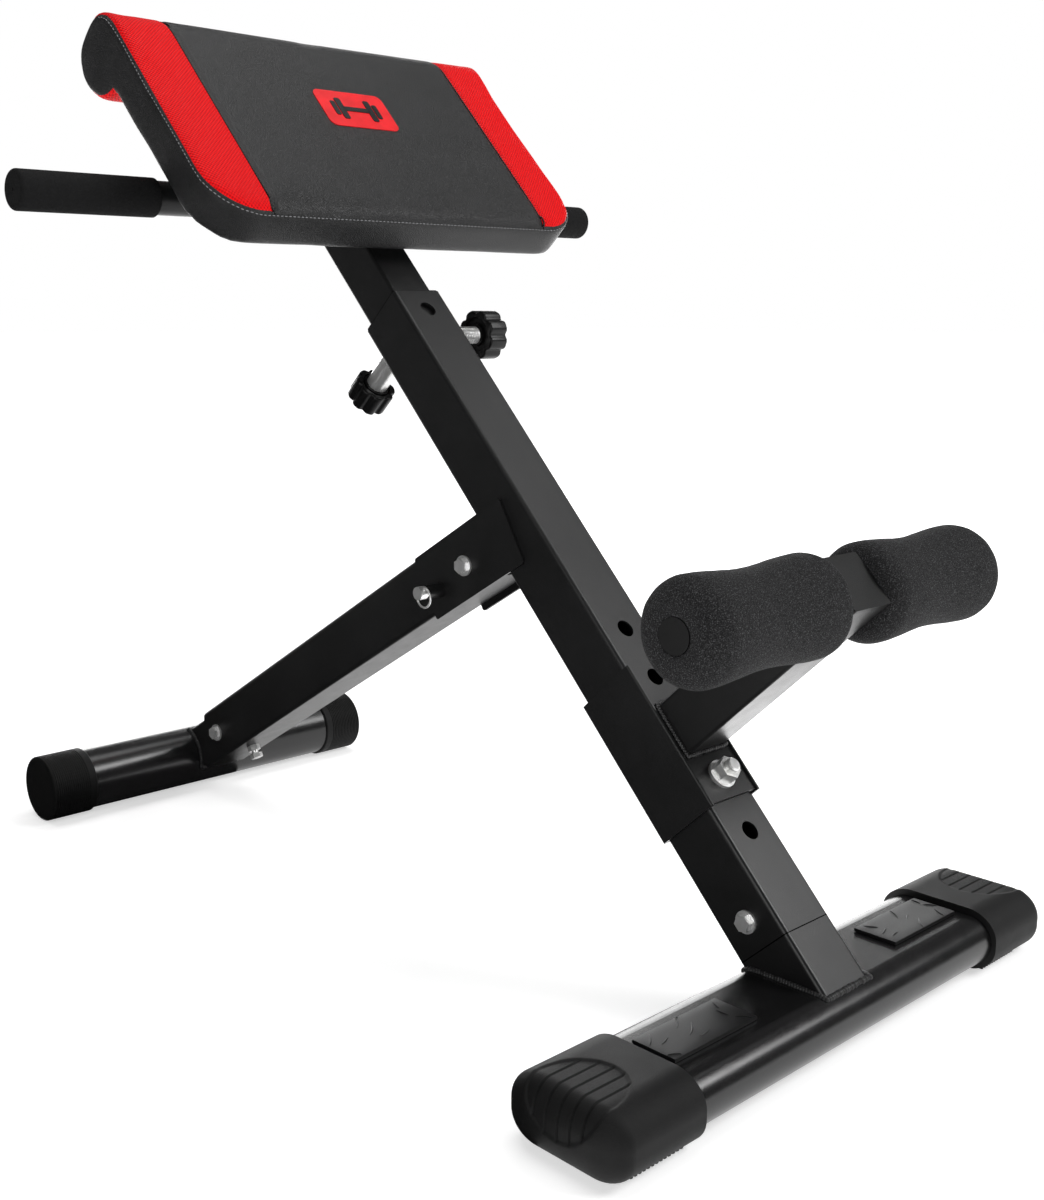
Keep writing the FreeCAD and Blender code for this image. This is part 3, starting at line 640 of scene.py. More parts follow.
cushion = {
    "panelSeam": 0.173,      # black middle panel meets the red panels here, each side
    # Half width of the painted shade line along each panel seam
    "seamLine": 0.0011,
    "dotPitch": 0.0036,
    "rollRadius": 0.0407,
    "lowCorner": 0.057,
    "highCorner": 0.015,
    "edge": 0.009,
    "skin": 0.0016,          # the source shape starts this much smaller
    "voxel": 0.0045,
    "air": {"quality": 6, "mass": 0.3, "tension_stiffness": 18, "compression_stiffness": 18,
            "shear_stiffness": 8, "bending_stiffness": 0.6, "use_pressure": True,
            "uniform_pressure_force": 4.0},
    "airFrames": 20,
    "cap": 0.0030,           # the air moves no point further than this
    "grooveDepth": 0.0028,
    "grooveWidth": 0.0030,
    "edgeSeamInset": 0.0025,
    "edgeSeamShare": 0.6,
    "stitchDrop": 0.0062,
    "stitchLift": 0.00015,
    "weltLift": -0.0001,
    "weltStart": 0.0045,
}


def cushionPlaces():
    low, high = beamSpan("pad_cushion")
    return {"half": high.x, "start": low.y, "end": high.y, "top": high.z, "under": beamSpan("pad_board")[0].z,
            "rollAt": high.y - cushion["rollRadius"], "rollOut": high.z - cushion["rollRadius"]}


def profilePoints(p, shrink):
    # Side view as (along, out), starting at the lower end's foot and running round the roll
    radius = cushion["rollRadius"] - shrink
    edge = cushion["edge"]
    start, top, under = p["start"] + shrink, p["top"] - shrink, p["under"] + shrink
    dip = math.degrees(math.asin((p["rollOut"] - under) / radius))
    outline = arcPoints((start + edge, under + edge), edge, 180, 270, 6)
    outline += arcPoints((p["rollAt"], p["rollOut"]), radius, -180 + dip, 90, 40)
    outline += arcPoints((start + edge, top - edge), edge, 90, 180, 6)
    return outline


def prism(name, outline, low, high, toPoint):
    # Closed prism of a plane outline between two levels
    count = len(outline)
    points = [toPoint(a, b, low) for a, b in outline] + [toPoint(a, b, high) for a, b in outline]
    faces = [tuple(range(count)), tuple(range(2 * count - 1, count - 1, -1))]
    for i in range(count):
        j = (i + 1) % count
        faces.append((i, j, count + j, count + i))
    return pieceFrom(name, points, faces, smooth=False)


def planPoints(p, shrink):
    half, start, end = p["half"] - shrink, p["start"] + shrink, p["end"] + 0.01
    low, high = cushion["lowCorner"] - shrink, cushion["highCorner"]
    outline = arcPoints((half - low, start + low), low, -90, 0, 16)
    outline += arcPoints((half - high, p["end"] - shrink - high), high, 0, 90, 6)
    outline += arcPoints((high - half, p["end"] - shrink - high), high, 90, 180, 6)
    outline += arcPoints((low - half, start + low), low, 180, 270, 16)
    return outline


def insetOf(p, x, along):
    # Distance inside the pad's plan outline; the outline has no upper end
    reach = cushion["lowCorner"]
    dx = abs(x) - (p["half"] - reach)
    dy = (p["start"] + reach) - along
    outside = math.hypot(max(dx, 0), max(dy, 0))
    return reach - outside - min(max(dx, dy), 0)


def depthOf(p, along, out):
    # Depth below the cover on the top side, which carries on round the roll
    if along > p["rollAt"] or (out < p["rollOut"] - 0.008 and along > p["rollAt"] - cushion["rollRadius"] * 0.985):
        return cushion["rollRadius"] - math.hypot(along - p["rollAt"], out - p["rollOut"])
    return p["top"] - out


def onUnderside(p, along, out):
    return out < p["under"] + 0.012 and along < p["rollAt"] - cushion["rollRadius"] * 0.975


def skinPlace(p, x, along, out):
    # Flat place on the cover, in metres, running on round the roll
    if along <= p["rollAt"]:
        return x, along
    angle = math.atan2(along - p["rollAt"], out - p["rollOut"])
    return x, p["rollAt"] + cushion["rollRadius"] * angle


def inflate(piece, frames):
    # Cloth pressure, then each point is held within the cap of where it started
    start = [v.co.copy() for v in piece.data.vertices]
    cloth = piece.modifiers.new("air", "CLOTH")
    for name, value in cushion["air"].items():
        setattr(cloth.settings, name, value)
    cloth.settings.effector_weights.gravity = 0
    cloth.point_cache.frame_start = 1
    cloth.point_cache.frame_end = frames
    scene = bpy.context.scene
    for number in range(1, frames + 1):
        scene.frame_set(number)
    baked(piece)
    scene.frame_set(1)
    for vertex, old in zip(piece.data.vertices, start):
        move = vertex.co - old
        if move.length > cushion["cap"]:
            vertex.co = old + move * (cushion["cap"] / move.length)


def fitCushion(mesh, p):
    # Air and smoothing leave it a little off size, so it is stretched back to its place
    wanted = ((-p["half"], p["half"]), (p["start"], p["end"]), (None, p["top"]))
    for axis, (first, last) in enumerate(wanted):
        values = [v.co[axis] for v in mesh.vertices]
        low, high = min(values), max(values)
        first = low if first is None else first
        for vertex in mesh.vertices:
            vertex.co[axis] = first + (vertex.co[axis] - low) * (last - first) / (high - low)


def makeCushion():
    p = cushionPlaces()
    shrink = cushion["skin"]
    side = prism("padCushion", profilePoints(p, shrink), shrink - p["half"], p["half"] - shrink,
                 lambda a, b, level: (level, a, b))
    plan = prism("padPlan", planPoints(p, shrink), -0.1, 0.2, lambda a, b, level: (a, b, level))
    cut = side.modifiers.new("plan", "BOOLEAN")
    cut.operation = "INTERSECT"
    cut.solver = "EXACT"
    cut.object = plan
    remesh = side.modifiers.new("voxels", "REMESH")
    remesh.mode = "VOXEL"
    remesh.voxel_size = cushion["voxel"]
    baked(side)
    bpy.data.objects.remove(plan)
    inflate(side, cushion["airFrames"])
    soften = side.modifiers.new("soften", "SMOOTH")
    soften.factor = 0.5
    soften.iterations = 6
    rounder = side.modifiers.new("rounder", "SUBSURF")
    rounder.levels = rounder.render_levels = 1
    baked(side)
    fitCushion(side.data, p)
    sewCushion(side.data, p)
    side.data.transform(beamFrame)
    for face in side.data.polygons:
        face.use_smooth = True
    side.data.materials.clear()
    side.data.materials.append(coverMaterial())
    finishPiece(side, "post", "black_vinyl", "pad_cushion")
    report(f"pad cushion, {len(side.data.polygons)} faces")
    return side, p


def sewCushion(mesh, p):
    # Presses the sewn lines in, keeps the back flat on its board and marks the top side
    normals = [v.normal.copy() for v in mesh.vertices]
    topSide = mesh.attributes.new("topSide", "FLOAT", "POINT")
    marks = []
    seamInset = cushion["edgeSeamInset"]
    for vertex, normal in zip(mesh.vertices, normals):
        x, along, out = vertex.co
        inset, depth = insetOf(p, x, along), depthOf(p, along, out)
        under = onUnderside(p, along, out)
        marks.append(-0.01 if under else max(-0.02, min(0.02, inset - depth)))
        pull = 0.0
        if not under:
            toEdge = math.hypot(inset - seamInset, depth - seamInset)
            pull += math.exp(-(toEdge / cushion["grooveWidth"]) ** 2) * cushion["edgeSeamShare"]
            if inset > depth:
                toPanel = abs(abs(x) - cushion["panelSeam"])
                pull += math.exp(-(toPanel / cushion["grooveWidth"]) ** 2)
        vertex.co -= normal * (cushion["grooveDepth"] * min(pull, 1.0))
        if along < p["rollAt"] - cushion["rollRadius"] and out < p["under"] + 0.004:
            vertex.co.z = max(vertex.co.z, p["under"] - 0.0005)
    topSide.data.foreach_set("value", marks)
    layer = mesh.uv_layers.new(name="skin")
    for loop in mesh.loops:
        x, along, out = mesh.vertices[loop.vertex_index].co
        layer.data[loop.index].uv = skinPlace(p, x, along, out)
    mesh.update()


def surfaceOf(piece):
    return BVHTree.FromPolygons([v.co for v in piece.data.vertices], [f.vertices for f in piece.data.polygons])


def onPad(surface, point, lift):
    # The place on the cover nearest to a point of the beam's frame, raised off it
    spot, normal, _, _ = surface.find_nearest(beamFrame @ Vector(point))
    return spot + normal * lift


def makeStitches(surface, p, tree):
    # Thread line on the side band, just below its seam with the top
    path = []
    half, start, corner = p["half"], p["start"], cushion["lowCorner"]
    reach = cushion["rollRadius"] - cushion["stitchDrop"]
    for step in range(40):
        angle = math.radians(40 * (1 - step / 39))
        path.append((-half, p["rollAt"] + reach * math.sin(angle), p["rollOut"] + reach * math.cos(angle)))
    level = p["top"] - cushion["stitchDrop"]
    for step in range(1, 60):
        path.append((-half, p["rollAt"] + (start + corner - p["rollAt"]) * step / 59, level))
    for x, along in arcPoints((corner - half, start + corner), corner, 180, 270, 30)[1:]:
        path.append((x, along, level))
    path += [(-x, along, out) for x, along, out in reversed(path)]
    path = [onPad(surface, point, cushion["stitchLift"]) for point in path]
    sizes = {"Spacing": 0.0046, "Length": 0.0032, "Width": 0.0009, "Height": 0.0009, "Jitter": 0.1}
    stitches = beadsAlong("padStitches", [path], tree, sizes, "post", "black_vinyl")
    report(f"stitches, {len(stitches.data.polygons)} faces")


def makeSeams(surface, p, tree):
    # Sewn welts where the red panels meet the black one, over the top and round the roll
    paths = []
    first = p["start"] + cushion["weltStart"]
    reach = cushion["rollRadius"]
    for side in (-1, 1):
        x = side * cushion["panelSeam"]
        path = [(x, first + (p["rollAt"] - first) * i / 70, p["top"]) for i in range(71)]
        for step in range(1, 50):
            angle = math.radians(160 * step / 49)
            path.append((x, p["rollAt"] + reach * math.sin(angle), p["rollOut"] + reach * math.cos(angle)))
        paths.append([onPad(surface, point, cushion["weltLift"]) for point in path])
    sizes = {"Spacing": 0.0030, "Length": 0.0044, "Width": 0.0021, "Height": 0.0019, "Jitter": 0.0}
    welts = beadsAlong("padSeams", paths, tree, sizes, "post", "black_vinyl")
    report(f"pad seams, {len(welts.data.polygons)} faces")


emblem = {
    "width": 0.088, "height": 0.052, "along": 1.0005, "corner": 0.008,
    "lift": 0.0007, "signLift": 0.0006, "sunk": 0.001, "rings": 8, "grid": 0.003,
    # Width, height and corner of the dumbbell's bar; its discs also have a place across
    "bar": (0.034, 0.0062, 0.0015),
    "discs": ((0.0075, 0.030, 0.0022, 0.0185), (0.0060, 0.020, 0.0020, 0.0266)),
}


def roundedOutline(halfWide, halfHigh, corner):
    outline = []
    for sx, sy, start in ((1, 1, 0), (-1, 1, 90), (-1, -1, 180), (1, -1, 270)):
        place = (sx * (halfWide - corner), sy * (halfHigh - corner))
        outline += arcPoints(place, corner, start, start + 90, 6)
    return outline


def roundedPatch(width, height, corner, rings, centre):
    # Filled rounded rectangle as rings of points about its centre
    outline = roundedOutline(width / 2, height / 2, corner)
    dense = []
    for (ax, ay), (bx, by) in zip(outline, outline[1:] + outline[:1]):
        pieces = max(1, int(math.hypot(bx - ax, by - ay) / emblem["grid"]))
        dense += [(ax + (bx - ax) * i / pieces, ay + (by - ay) * i / pieces) for i in range(pieces)]
    points = [(centre[0], centre[1])]
    count = len(dense)
    for ring in range(1, rings + 1):
        points += [(centre[0] + x * ring / rings, centre[1] + y * ring / rings) for x, y in dense]
    faces = [(0, 1 + i, 1 + (i + 1) % count) for i in range(count)]
    for ring in range(1, rings):
        faces += bandFaces(1 + (ring - 1) * count, 1 + ring * count, count)
    return points, faces, count


def patchOnPad(name, surface, p, shapes, lift, thickness, material, slotName):
    # Raised patches that follow the pad's top
    points, faces = [], []
    for width, height, corner, centre in shapes:
        flat, flatFaces, count = roundedPatch(width, height, corner, emblem["rings"], centre)
        base, edge = len(points), len(flat) - count
        low = base + len(flat)
        for places, level in ((flat, lift + thickness), (flat[edge:], lift - emblem["sunk"])):
            points += [onPad(surface, (x, emblem["along"] + y, p["top"]), level) for x, y in places]
        faces += [tuple(base + i for i in face) for face in flatFaces]
        faces += bandFaces(base + edge, low, count)
        faces.append(tuple(low + i for i in range(count)))
    patch = pieceFrom(name, points, faces, material=material)
    sharpen(patch, 40)
    finishPiece(patch, "post", slotName)


def makeEmblem(surface, p, redSkin, blackSkin):
    # A plain dumbbell sign on a rounded patch
    badge = [(emblem["width"], emblem["height"], emblem["corner"], (0, 0))]
    patchOnPad("padBadge", surface, p, badge, 0.0, emblem["lift"], redSkin, "red_mesh")
    sign = [(*emblem["bar"], (0, 0))]
    for side in (-1, 1):
        sign += [(width, height, corner, (side * across, 0)) for width, height, corner, across in emblem["discs"]]
    patchOnPad("padBadgeSign", surface, p, sign, emblem["lift"], emblem["signLift"], blackSkin, "black_vinyl")


# ---- foam pieces ----

foam = {"steps": 120, "waist": 0.0036, "innerRound": 0.017, "outerRound": 0.021, "lump": 0.00025, "lumpScale": 90,
        "bore": 0.0140, "smoothBore": 0.004, "gripBore": 0.0160, "gripRound": 0.0035, "gripEnd": 0.003}


def makeRoller(side, label, material):
    node = "foam_roller_" + label
    low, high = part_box(node)
    radius = (high.z - low.z) / 2
    near, far = sorted((abs(low.x), abs(high.x)))
    inner, outer, bore = foam["innerRound"], foam["outerRound"], foam["bore"]
    profile = [(near, bore)] + arcPoints((near + inner, radius - inner), inner, 180, 90, 14)
    first, last = near + inner, far - outer
    for step in range(1, 40):
        u = step / 40
        profile.append((first + (last - first) * u, radius - foam["waist"] * math.sin(math.pi * u) ** 2))
    profile += arcPoints((far - outer, radius - outer), outer, 90, 0, 16)
    profile += [(far - 0.0002, bore + 0.002), (far - 0.0005, bore)]
    points, faces = lathe(profile, foam["steps"])
    place = mirrored(side, (0, rollerAxis.y, rollerAxis.z))
    piece = pieceFrom("foamRoller" + label.title(), points, faces, place, material=material)
    for vertex in piece.data.vertices:
        if math.hypot(vertex.co.y - rollerAxis.y, vertex.co.z - rollerAxis.z) > bore + foam["smoothBore"]:
            vertex.co += vertex.normal * foam["lump"] * noise.noise(vertex.co * foam["lumpScale"])
    finishPiece(piece, "roller_" + label, "foam", node)


def makeGrip(side, label, material):
    node = "grip_" + label
    low, high, centre = boxOf(node)
    radius = (high.z - low.z) / 2
    near, far = sorted((abs(low.x), abs(high.x)))
    bore, rim, end = foam["gripBore"], foam["gripRound"], foam["gripEnd"]
    profile = [(near, bore), (near, radius - 0.001), (near + 0.001, radius)]
    profile += [(near + 0.001 + (far - near - 0.005) * i / 24, radius) for i in range(1, 24)]
    profile += arcPoints((far - rim, radius - rim), rim, 90, 0, 6)
    profile += [(far, radius * 0.5), (far, 0.0016), (far - 0.0006, 0.0011), (far - end, 0.0010),
                (far - end, bore - 0.001), (far - end, bore)]
    points, faces = lathe(profile, 64)
    place = mirrored(side, (0, centre.y, centre.z))
    piece = pieceFrom("handleFoam" + label.title(), points, faces, place, material=material)
    sharpen(piece, 50)
    finishPiece(piece, "post", "foam", node)


# ---- feet ----

frontCap = {"round": (0.019, 0.030, 0.025), "trace": 0.022, "grid": 0.0013, "cutAway": 0.02, "rimSlope": 22,
            "grooves": 5, "groovePitch": 0.0118, "grooveHalf": 0.0012, "grooveDepth": 0.0018, "recess": 0.0011,
            "ovalHalf": 0.037, "ovalReach": 0.0435, "ovalShift": 0.0015}


def gridBox(half, size):
    # Closed box surface as a fine grid, centred on the origin
    points, faces = [], []
    for axis in range(3):
        a, b = (axis + 1) % 3, (axis + 2) % 3
        across, up = (max(2, round(2 * half[a] / size)), max(2, round(2 * half[b] / size)))
        for sign in (-1, 1):
            start = len(points)
            for i in range(across + 1):
                for j in range(up + 1):
                    point = [0, 0, 0]
                    point[axis] = sign * half[axis]
                    point[a] = half[a] * (2 * i / across - 1)
                    point[b] = half[b] * (2 * j / up - 1)
                    points.append(tuple(point))
            for i in range(across):
                for j in range(up):
                    corner = start + i * (up + 1) + j
                    faces.append((corner, corner + 1, corner + up + 2, corner + up + 1))
    return points, faces


def coreOf(point, inner):
    # The place nearest to a point in a smaller box round the origin
    return Vector([max(-i, min(i, v)) for v, i in zip(point, inner)])


def makeFrontCap(side, label, material):
    # A rounded block, longer than it has to be, pressed in where its oval and grooves are, and then cut
    node = "front_cap_" + label
    low, high, centre = boxOf(node)
    spare = frontCap["cutAway"]
    half = ((high.x - low.x) / 2 + spare, (high.y - low.y) / 2, (high.z - low.z) / 2)
    points, faces = gridBox(half, frontCap["grid"])
    radii = Vector(frontCap["round"])
    reach, pitch = frontCap["trace"], frontCap["groovePitch"]
    inner = [h - r for h, r in zip(half, radii)]
    shaped = []
    for point in points:
        core = coreOf(point, inner)
        away = Vector([(v - c) / r for v, c, r in zip(point, core, radii)]).normalized()
        spot = core + Vector([a * r for a, r in zip(away, radii)])
        normal = Vector([a / r for a, r in zip(away, radii)]).normalized()
        # Distance round the top and over the outer end, from where the rounding starts
        if spot.x > inner[0]:
            travel = reach * math.atan2(spot.x - inner[0], max(spot.z - inner[2], 1e-6))
            if spot.z < inner[2]:
                travel = reach * math.pi / 2 + (inner[2] - spot.z)
        else:
            travel = spot.x - inner[0]
        if normal.z > -0.3 or spot.x > inner[0]:
            onward = (travel - frontCap["ovalShift"]) / frontCap["ovalReach"]
            oval = math.hypot(spot.y / frontCap["ovalHalf"], onward)
            inside = max(0.0, min(1.0, (1 - oval) * frontCap["rimSlope"]))
            press = frontCap["recess"] * inside
            line = abs((spot.y / pitch + 0.5) % 1 - 0.5) * pitch
            if abs(spot.y) < pitch * (frontCap["grooves"] / 2):
                press += frontCap["grooveDepth"] * inside * max(0.0, 1 - (line / frontCap["grooveHalf"]) ** 2)
            spot -= normal * press * (1 if spot.z > -half[2] * 0.7 else 0)
        shaped.append(tuple(spot))
    place = mirrored(side, centre - Vector((side * spare, 0, 0)))
    cap = pieceFrom("frontCap" + label.title(), shaped, faces, place, material=material)
    build = bmesh.new()
    build.from_mesh(cap.data)
    face = Vector((low.x if side > 0 else high.x, 0, 0))
    whole = build.verts[:] + build.edges[:] + build.faces[:]
    bmesh.ops.bisect_plane(build, geom=whole, plane_co=face, plane_no=(-side, 0, 0), clear_outer=True)
    bmesh.ops.holes_fill(build, edges=[edge for edge in build.edges if edge.is_boundary])
    bmesh.ops.recalc_face_normals(build, faces=build.faces)
    build.to_mesh(cap.data)
    build.free()
    sharpen(cap, 45)
    finishPiece(cap, "frame", "foot_rubber", node)


teeth = {"apart": 0.036, "from": 0.214, "to": 0.268, "level": 0.0022,
         "sizes": {"Spacing": 0.0044, "Length": 0.0024, "Width": 0.013, "Height": 0.0042, "Jitter": 0.0}}


def makeFootRibs(tree):
    # Rubber teeth under the front caps, in the gap beside the rounded underside
    paths = []
    for label, side in (("left", -1), ("right", 1)):
        centre = boxOf("front_cap_" + label)[2]
        for edge in (-1, 1):
            y = centre.y + edge * teeth["apart"]
            paths.append([Vector((side * x, y, teeth["level"])) for x in (teeth["from"], teeth["to"])])
    beadsAlong("frontCapTeeth", paths, tree, teeth["sizes"], "frame", "foot_rubber")


tread = {"seed": 5, "marks": 9, "width": 0.0011, "height": 0.0007, "sunk": 0.0003, "steps": 14,
         "grid": 0.004, "soften": 0.0007, "margin": 0.001}


def treadMark(shaped, faces, half, source, mark):
    # One curved raised line on the sheet
    cx = half.x * (-0.8 + 1.6 * (mark % 3) / 2) + source.uniform(-0.008, 0.008)
    cy = half.y * (-0.62 + 1.24 * (mark // 3) / 2) + source.uniform(-0.003, 0.003)
    bend, turn = source.uniform(0.02, 0.045), source.uniform(0, 360)
    sweep = math.degrees(source.uniform(0.010, 0.026) / bend)
    middleLine = math.radians(turn)
    start, count, width, margin = len(shaped), tread["steps"], tread["width"], tread["margin"]
    for step in range(count + 1):
        angle = math.radians(turn + sweep * (step / count - 0.5))
        taper = math.sin(math.pi * step / count) ** 0.5
        for offset, lift in ((-width, -tread["sunk"]), (0, tread["height"] * taper), (width, -tread["sunk"])):
            reach = bend + offset * max(taper, 0.05)
            x = cx + reach * math.cos(angle) - bend * math.cos(middleLine)
            y = cy + reach * math.sin(angle) - bend * math.sin(middleLine)
            x = max(-half.x + margin, min(half.x - margin, x))
            y = max(-half.y + margin, min(half.y - margin, y))
            shaped.append(Vector((x, y, half.z + lift)))
    for step in range(count):
        a = start + step * 3
        faces += [(a, a + 3, a + 4, a + 1), (a + 1, a + 4, a + 5, a + 2), (a + 2, a + 5, a + 3, a)]
    last = start + count * 3
    faces += [(start, start + 1, start + 2), (last, last + 2, last + 1)]


def makeTread(side, label, material):
    node = "tread_pad_" + label
    low, high, centre = boxOf(node)
    half = Vector(((high.x - low.x) / 2, (high.y - low.y) / 2, (high.z - low.z) / 2))
    points, faces = gridBox(half, tread["grid"])
    inner = [h - tread["soften"] for h in half]
    shaped = []
    for point in points:
        core = coreOf(point, inner)
        shaped.append(core + (Vector(point) - core).normalized() * tread["soften"])
    source = random.Random(tread["seed"] + side)
    for mark in range(tread["marks"]):
        treadMark(shaped, faces, half, source, mark)
    piece = pieceFrom("treadSheet" + label.title(), shaped, faces, Matrix.Translation(centre), material=material)
    sharpen(piece, 35)
    finishPiece(piece, "frame", "foot_rubber", node)


rearCap = {"ribs": 17, "pitch": 0.00255, "depth": 0.0008, "band": 0.0095, "dome": 0.0008, "round": 0.0022}


def makeRearCap(side, label, material):
    node = "rear_cap_" + label
    low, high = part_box(node)
    near, far = sorted((abs(low.x), abs(high.x)))
    radius = (high.z - low.z) / 2
    x, groove, soft = near + rearCap["band"], radius - rearCap["depth"], rearCap["round"]
    profile = [(near, 0), (near, radius - 0.003), (near, radius - 0.001), (near + 0.001, radius), (x, radius)]
    for _ in range(rearCap["ribs"]):
        profile += [(x + 0.0005, groove), (x + 0.0010, groove), (x + 0.0014, radius)]
        profile.append((x + rearCap["pitch"], radius))
        x += rearCap["pitch"]
    profile += arcPoints((far - soft - 0.001, radius - soft), soft, 90, 20, 6)
    profile += [(far - rearCap["dome"] * (1 - i / 6), radius * (0.92 - 0.92 * i / 6)) for i in range(6)]
    profile.append((far, 0))
    points, faces = lathe(profile, 96)
    place = mirrored(side, (0, rearCentre.y, rearCentre.z))
    piece = pieceFrom("rearCap" + label.title(), points, faces, place, material=material)
    sharpen(piece, 40)
    finishPiece(piece, "strut", "foot_rubber", node)


# ---- knobs and screws ----

knob = {"lobes": 8, "notch": 0.13, "sharpness": 2.6, "steps": 192, "recess": 0.003, "hubs": (0.0112, 0.0135)}
thread = {"pitch": 0.0036, "depth": 0.55, "steps": 48, "ringsPerTurn": 8}


def makeKnob(name, node, body, matrix, radius, height, hubRadius, material):
    # A scalloped knob standing along x from its seat, dished on both sides round its hub

    def rimRadius(x, r, angle):
        if r < radius * 0.72:
            return r
        wave = (0.5 + 0.5 * math.cos(knob["lobes"] * angle)) ** knob["sharpness"]
        return r - radius * knob["notch"] * wave * min(1.0, (r / radius - 0.72) / 0.12)

    soft = radius * 0.09
    dish = knob["recess"]
    profile = [(0, 0), (0, hubRadius), (dish, hubRadius + 0.0004), (dish, radius * 0.68), (0.0004, radius * 0.72)]
    profile += arcPoints((soft, radius - soft), soft, 180, 90, 5)
    profile += arcPoints((height - soft * 1.4, radius - soft * 1.4), soft * 1.4, 90, 5, 7)
    profile += [(height, radius * 0.74), (height - 0.0004, radius * 0.62), (height - 0.0016, radius * 0.58),
                (height - 0.0019, radius * 0.2), (height - 0.0019, 0)]
    points, faces = lathe(profile, knob["steps"], rimRadius)
    piece = pieceFrom(name, points, faces, matrix, material=material)
    sharpen(piece, 38)
    finishPiece(piece, body, "black_plastic", node)


def makeThread(name, node, body, matrix, radius, start, end, material):
    # Screw with a real helical thread, along x
    pitch = thread["pitch"]
    rings = round((end - start) / (pitch / thread["ringsPerTurn"]))
    depth = pitch * thread["depth"]

    def threadRadius(x, r, angle):
        if r == 0:
            return 0
        phase = (x / pitch - angle / (2 * math.pi)) % 1
        return r - depth * (1 - abs(2 * phase - 1))

    profile = [(start, 0), (start, radius - depth)]
    profile += [(start + (end - start) * i / rings, radius) for i in range(rings + 1)]
    profile += [(end, radius - depth), (end, 0)]
    points, faces = lathe(profile, thread["steps"], threadRadius)
    piece = pieceFrom(name, points, faces, matrix, material=material)
    sharpen(piece, 60)
    finishPiece(piece, body, "zinc_plate", node)


def alongAxis(origin, direction):
    # A matrix whose x axis runs along a direction
    x = direction.normalized()
    y = right if abs(x.dot(right)) < 0.9 else Vector((0, 1, 0))
    z = x.cross(y).normalized()
    return framed(x, z.cross(x), z, origin)


def makeKnobs(plastic, zinc):
    low, high, centre = boxOf("tension_knob")
    tensionHub, pullHub = knob["hubs"]
    seat = alongAxis(Vector((low.x, centre.y, centre.z)), right)
    makeKnob("tensionKnob", "tension_knob", "tension_knob", seat, (high.y - low.y) / 2, high.x - low.x,
             tensionHub, plastic)
    low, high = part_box("tension_screw")
    seat = alongAxis(Vector((0, centre.y, centre.z)), right)
    makeThread("tensionThread", "tension_screw", "tension_knob", seat, (high.z - low.z) / 2, low.x, high.x, zinc)
    low, high = beamSpan("pull_knob")
    seat = alongAxis(beamFrame @ Vector((0, (low.y + high.y) / 2, high.z)), -outBeam)
    makeKnob("pullPinKnob", "pull_knob", "pull_pin", seat, (high.x - low.x) / 2, high.z - low.z, pullHub, plastic)


# ---- weld beads ----

weld = {"Spacing": 0.0027, "Length": 0.0060, "Width": 0.0070, "Height": 0.0070, "Jitter": 0.3}
weldPlaces = {"footStart": 0.03, "footStep": 0.00025, "footSteps": 400,
              "armEdge": 0.0006, "armLift": 0.001, "spigotHalf": 0.025}


def baseHeight(y):
    # Top of the flat oval front tube at a place across it
    low, high, centre = boxOf("front_base_tube")
    radius = (high.z - low.z) / 2
    past = abs(y - centre.y) - ((high.y - low.y) / 2 - radius)
    return centre.z + (math.sqrt(max(radius ** 2 - past ** 2, 0)) if past > 0 else radius)


def socketFoot(x, out):
    # Where the socket's wall meets the base tube
    along = weldPlaces["footStart"]
    for _ in range(weldPlaces["footSteps"]):
        point = beamFrame @ Vector((x, along, out))
        if point.z >= baseHeight(point.y):
            return point
        along += weldPlaces["footStep"]
    return point


def makeWelds(tree):
    half = beamSpan("main_beam")[1].x
    outs = [half - 2 * half * i / 30 for i in range(31)]
    ring = [socketFoot(-half, out) for out in reversed(outs)]
    ring += [socketFoot(x, half) for x in (-half * 0.5, 0, half * 0.5)]
    ring += [socketFoot(half, out) for out in outs]
    ring += [socketFoot(x, -half) for x in (half * 0.5, 0, -half * 0.5, -half)]
    armLow, armHigh = beamSpan("roller_arm")
    edge = weldPlaces["armEdge"]
    corners = [(armLow.x - edge, armLow.y - edge), (armHigh.x + edge, armLow.y - edge),
               (armHigh.x + edge, armHigh.y + edge), (armLow.x - edge, armHigh.y + edge)]
    armLoop = [beamFrame @ Vector((x, along, armLow.z + weldPlaces["armLift"])) for x, along in corners + corners[:1]]
    spigot = weldPlaces["spigotHalf"]
    low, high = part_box("rear_base_tube")
    radius = (high.z - low.z) / 2
    rim = []
    for i in range(21):
        over = spigot * (1 - 2 * i / 20)
        rim.append((-spigot, math.sqrt(radius ** 2 - over ** 2), over))
    rim += [(-x, along, over) for x, along, over in reversed(rim)]
    rearLoop = [strutFrame @ Vector(point) for point in rim + rim[:1]]
    for name, loop, body in (("socketWeld", ring, "frame"), ("armWeld", armLoop, "roller_carriage"),
                             ("rearWeld", rearLoop, "strut")):
        beadsAlong(name, [loop], tree, weld, body, "powder_coat")


seamRing = {"width": 0.0009, "proud": 0.00012, "thick": 0.0004, "corner": 0.004}


def makeBeamSeam(material):
    # Shadow line where the main beam stands on its socket
    low, high = beamSpan("main_beam")
    half = high.x + seamRing["proud"]
    outline = roundedOutline(half, half, seamRing["corner"])
    count = len(outline)
    points, faces = [], []
    for along in (low.y - seamRing["width"] / 2, low.y + seamRing["width"] / 2):
        for scale in (1.0, 1 - seamRing["thick"] / half):
            points += [(x * scale, along, out * scale) for x, out in outline]
    for a, b in ((0, 2), (2, 3), (3, 1), (1, 0)):
        faces += bandFaces(a * count, b * count, count)
    ring = pieceFrom("beamSeam", points, faces, beamFrame, smooth=False, material=material)
    finishPiece(ring, "frame", "powder_coat")


# ---- everything ----

def coatCadNodes(finishes):
    for part in frame["record"]["subparts"]:
        node = frame["nodes"][part["node"]]
        node.data.materials.clear()
        node.data.materials.append(finishes[part["material_slot"]])


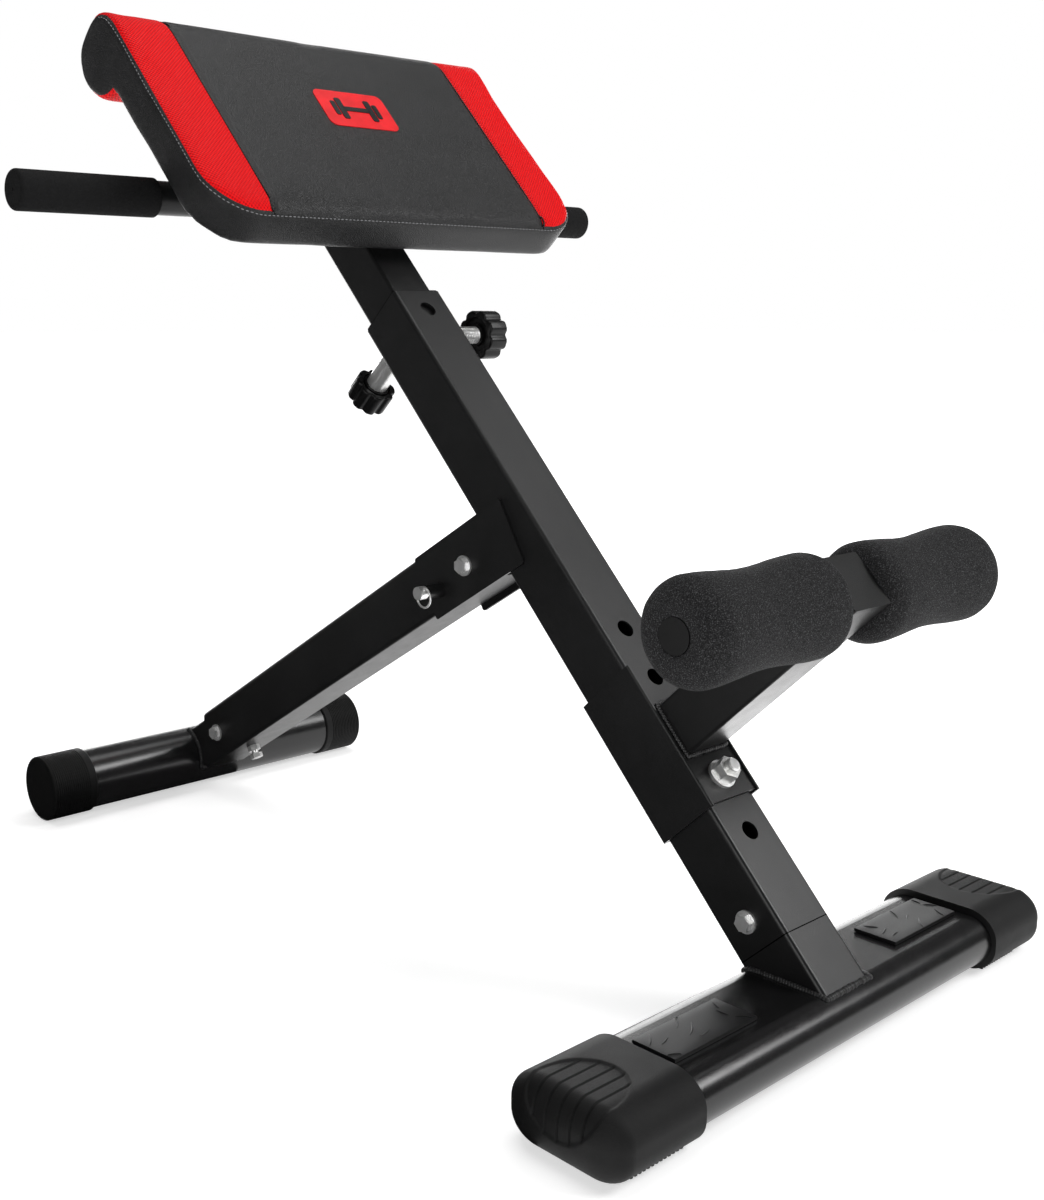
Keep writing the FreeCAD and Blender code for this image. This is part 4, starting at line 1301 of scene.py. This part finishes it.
makeCamera()
makeStudio()
report("camera and studio")
powderCoat = paintMaterial("powderCoat", 0.006, 0.34, 0.00010, 0.45)
glossCoat = paintMaterial("glossCoat", 0.006, 0.22, 0.00005, 0.55)
capRubber = rubberMaterial("capRubber", 0.003, 0.58, 1300, 0.0003)
knobPlastic = rubberMaterial("knobPlastic", 0.003, 0.34, 1500, 0.00006)
zincPlate = metalMaterial("zincPlate", 0.92, 0.32, 0.00005)
chromePlate = metalMaterial("chromePlate", 0.86, 0.30, 0.00001)
speckledFoam = foamMaterial("speckledFoam", 1100, 0.006, 0.019, 0.10)
gripFoam = foamMaterial("gripFoam", 1500, 0.004, 0.007, 0.018)
treadRubber = rubberMaterial("treadRubber", 0.012, 0.34, 1100, 0.0001)
boardCloth = clothMaterial()
weldPaint = paintMaterial("weldPaint", 0.008, 0.34, 0.0002, 0.55)
finishes = {"powder_coat": powderCoat, "gloss_coat": glossCoat, "foot_rubber": capRubber,
            "black_plastic": knobPlastic, "zinc_plate": zincPlate, "chrome": chromePlate,
            "foam": speckledFoam, "board": boardCloth, "black_vinyl": knobPlastic}
coatCadNodes(finishes)
report("materials")

threadTree = alongPathTree("stitchPath", threadMaterial(), True)
weldTree = alongPathTree("weldPath", weldPaint, True)
seamTree = alongPathTree("seamPath", knobPlastic, True)
toothTree = alongPathTree("toothPath", capRubber, False)
pad, padPlaces = makeCushion()
padSurface = surfaceOf(pad)
makeStitches(padSurface, padPlaces, threadTree)
makeSeams(padSurface, padPlaces, seamTree)
makeEmblem(padSurface, padPlaces, badgeMaterial(), knobPlastic)
for side, label in ((-1, "left"), (1, "right")):
    makeRoller(side, label, speckledFoam)
    makeGrip(side, label, gripFoam)
    makeFrontCap(side, label, capRubber)
    makeTread(side, label, treadRubber)
    makeRearCap(side, label, capRubber)
report("rollers, grips and feet")
makeFootRibs(toothTree)
makeKnobs(knobPlastic, zincPlate)
makeWelds(weldTree)
makeBeamSeam(shadowMaterial())
report("knobs, threads and welds")
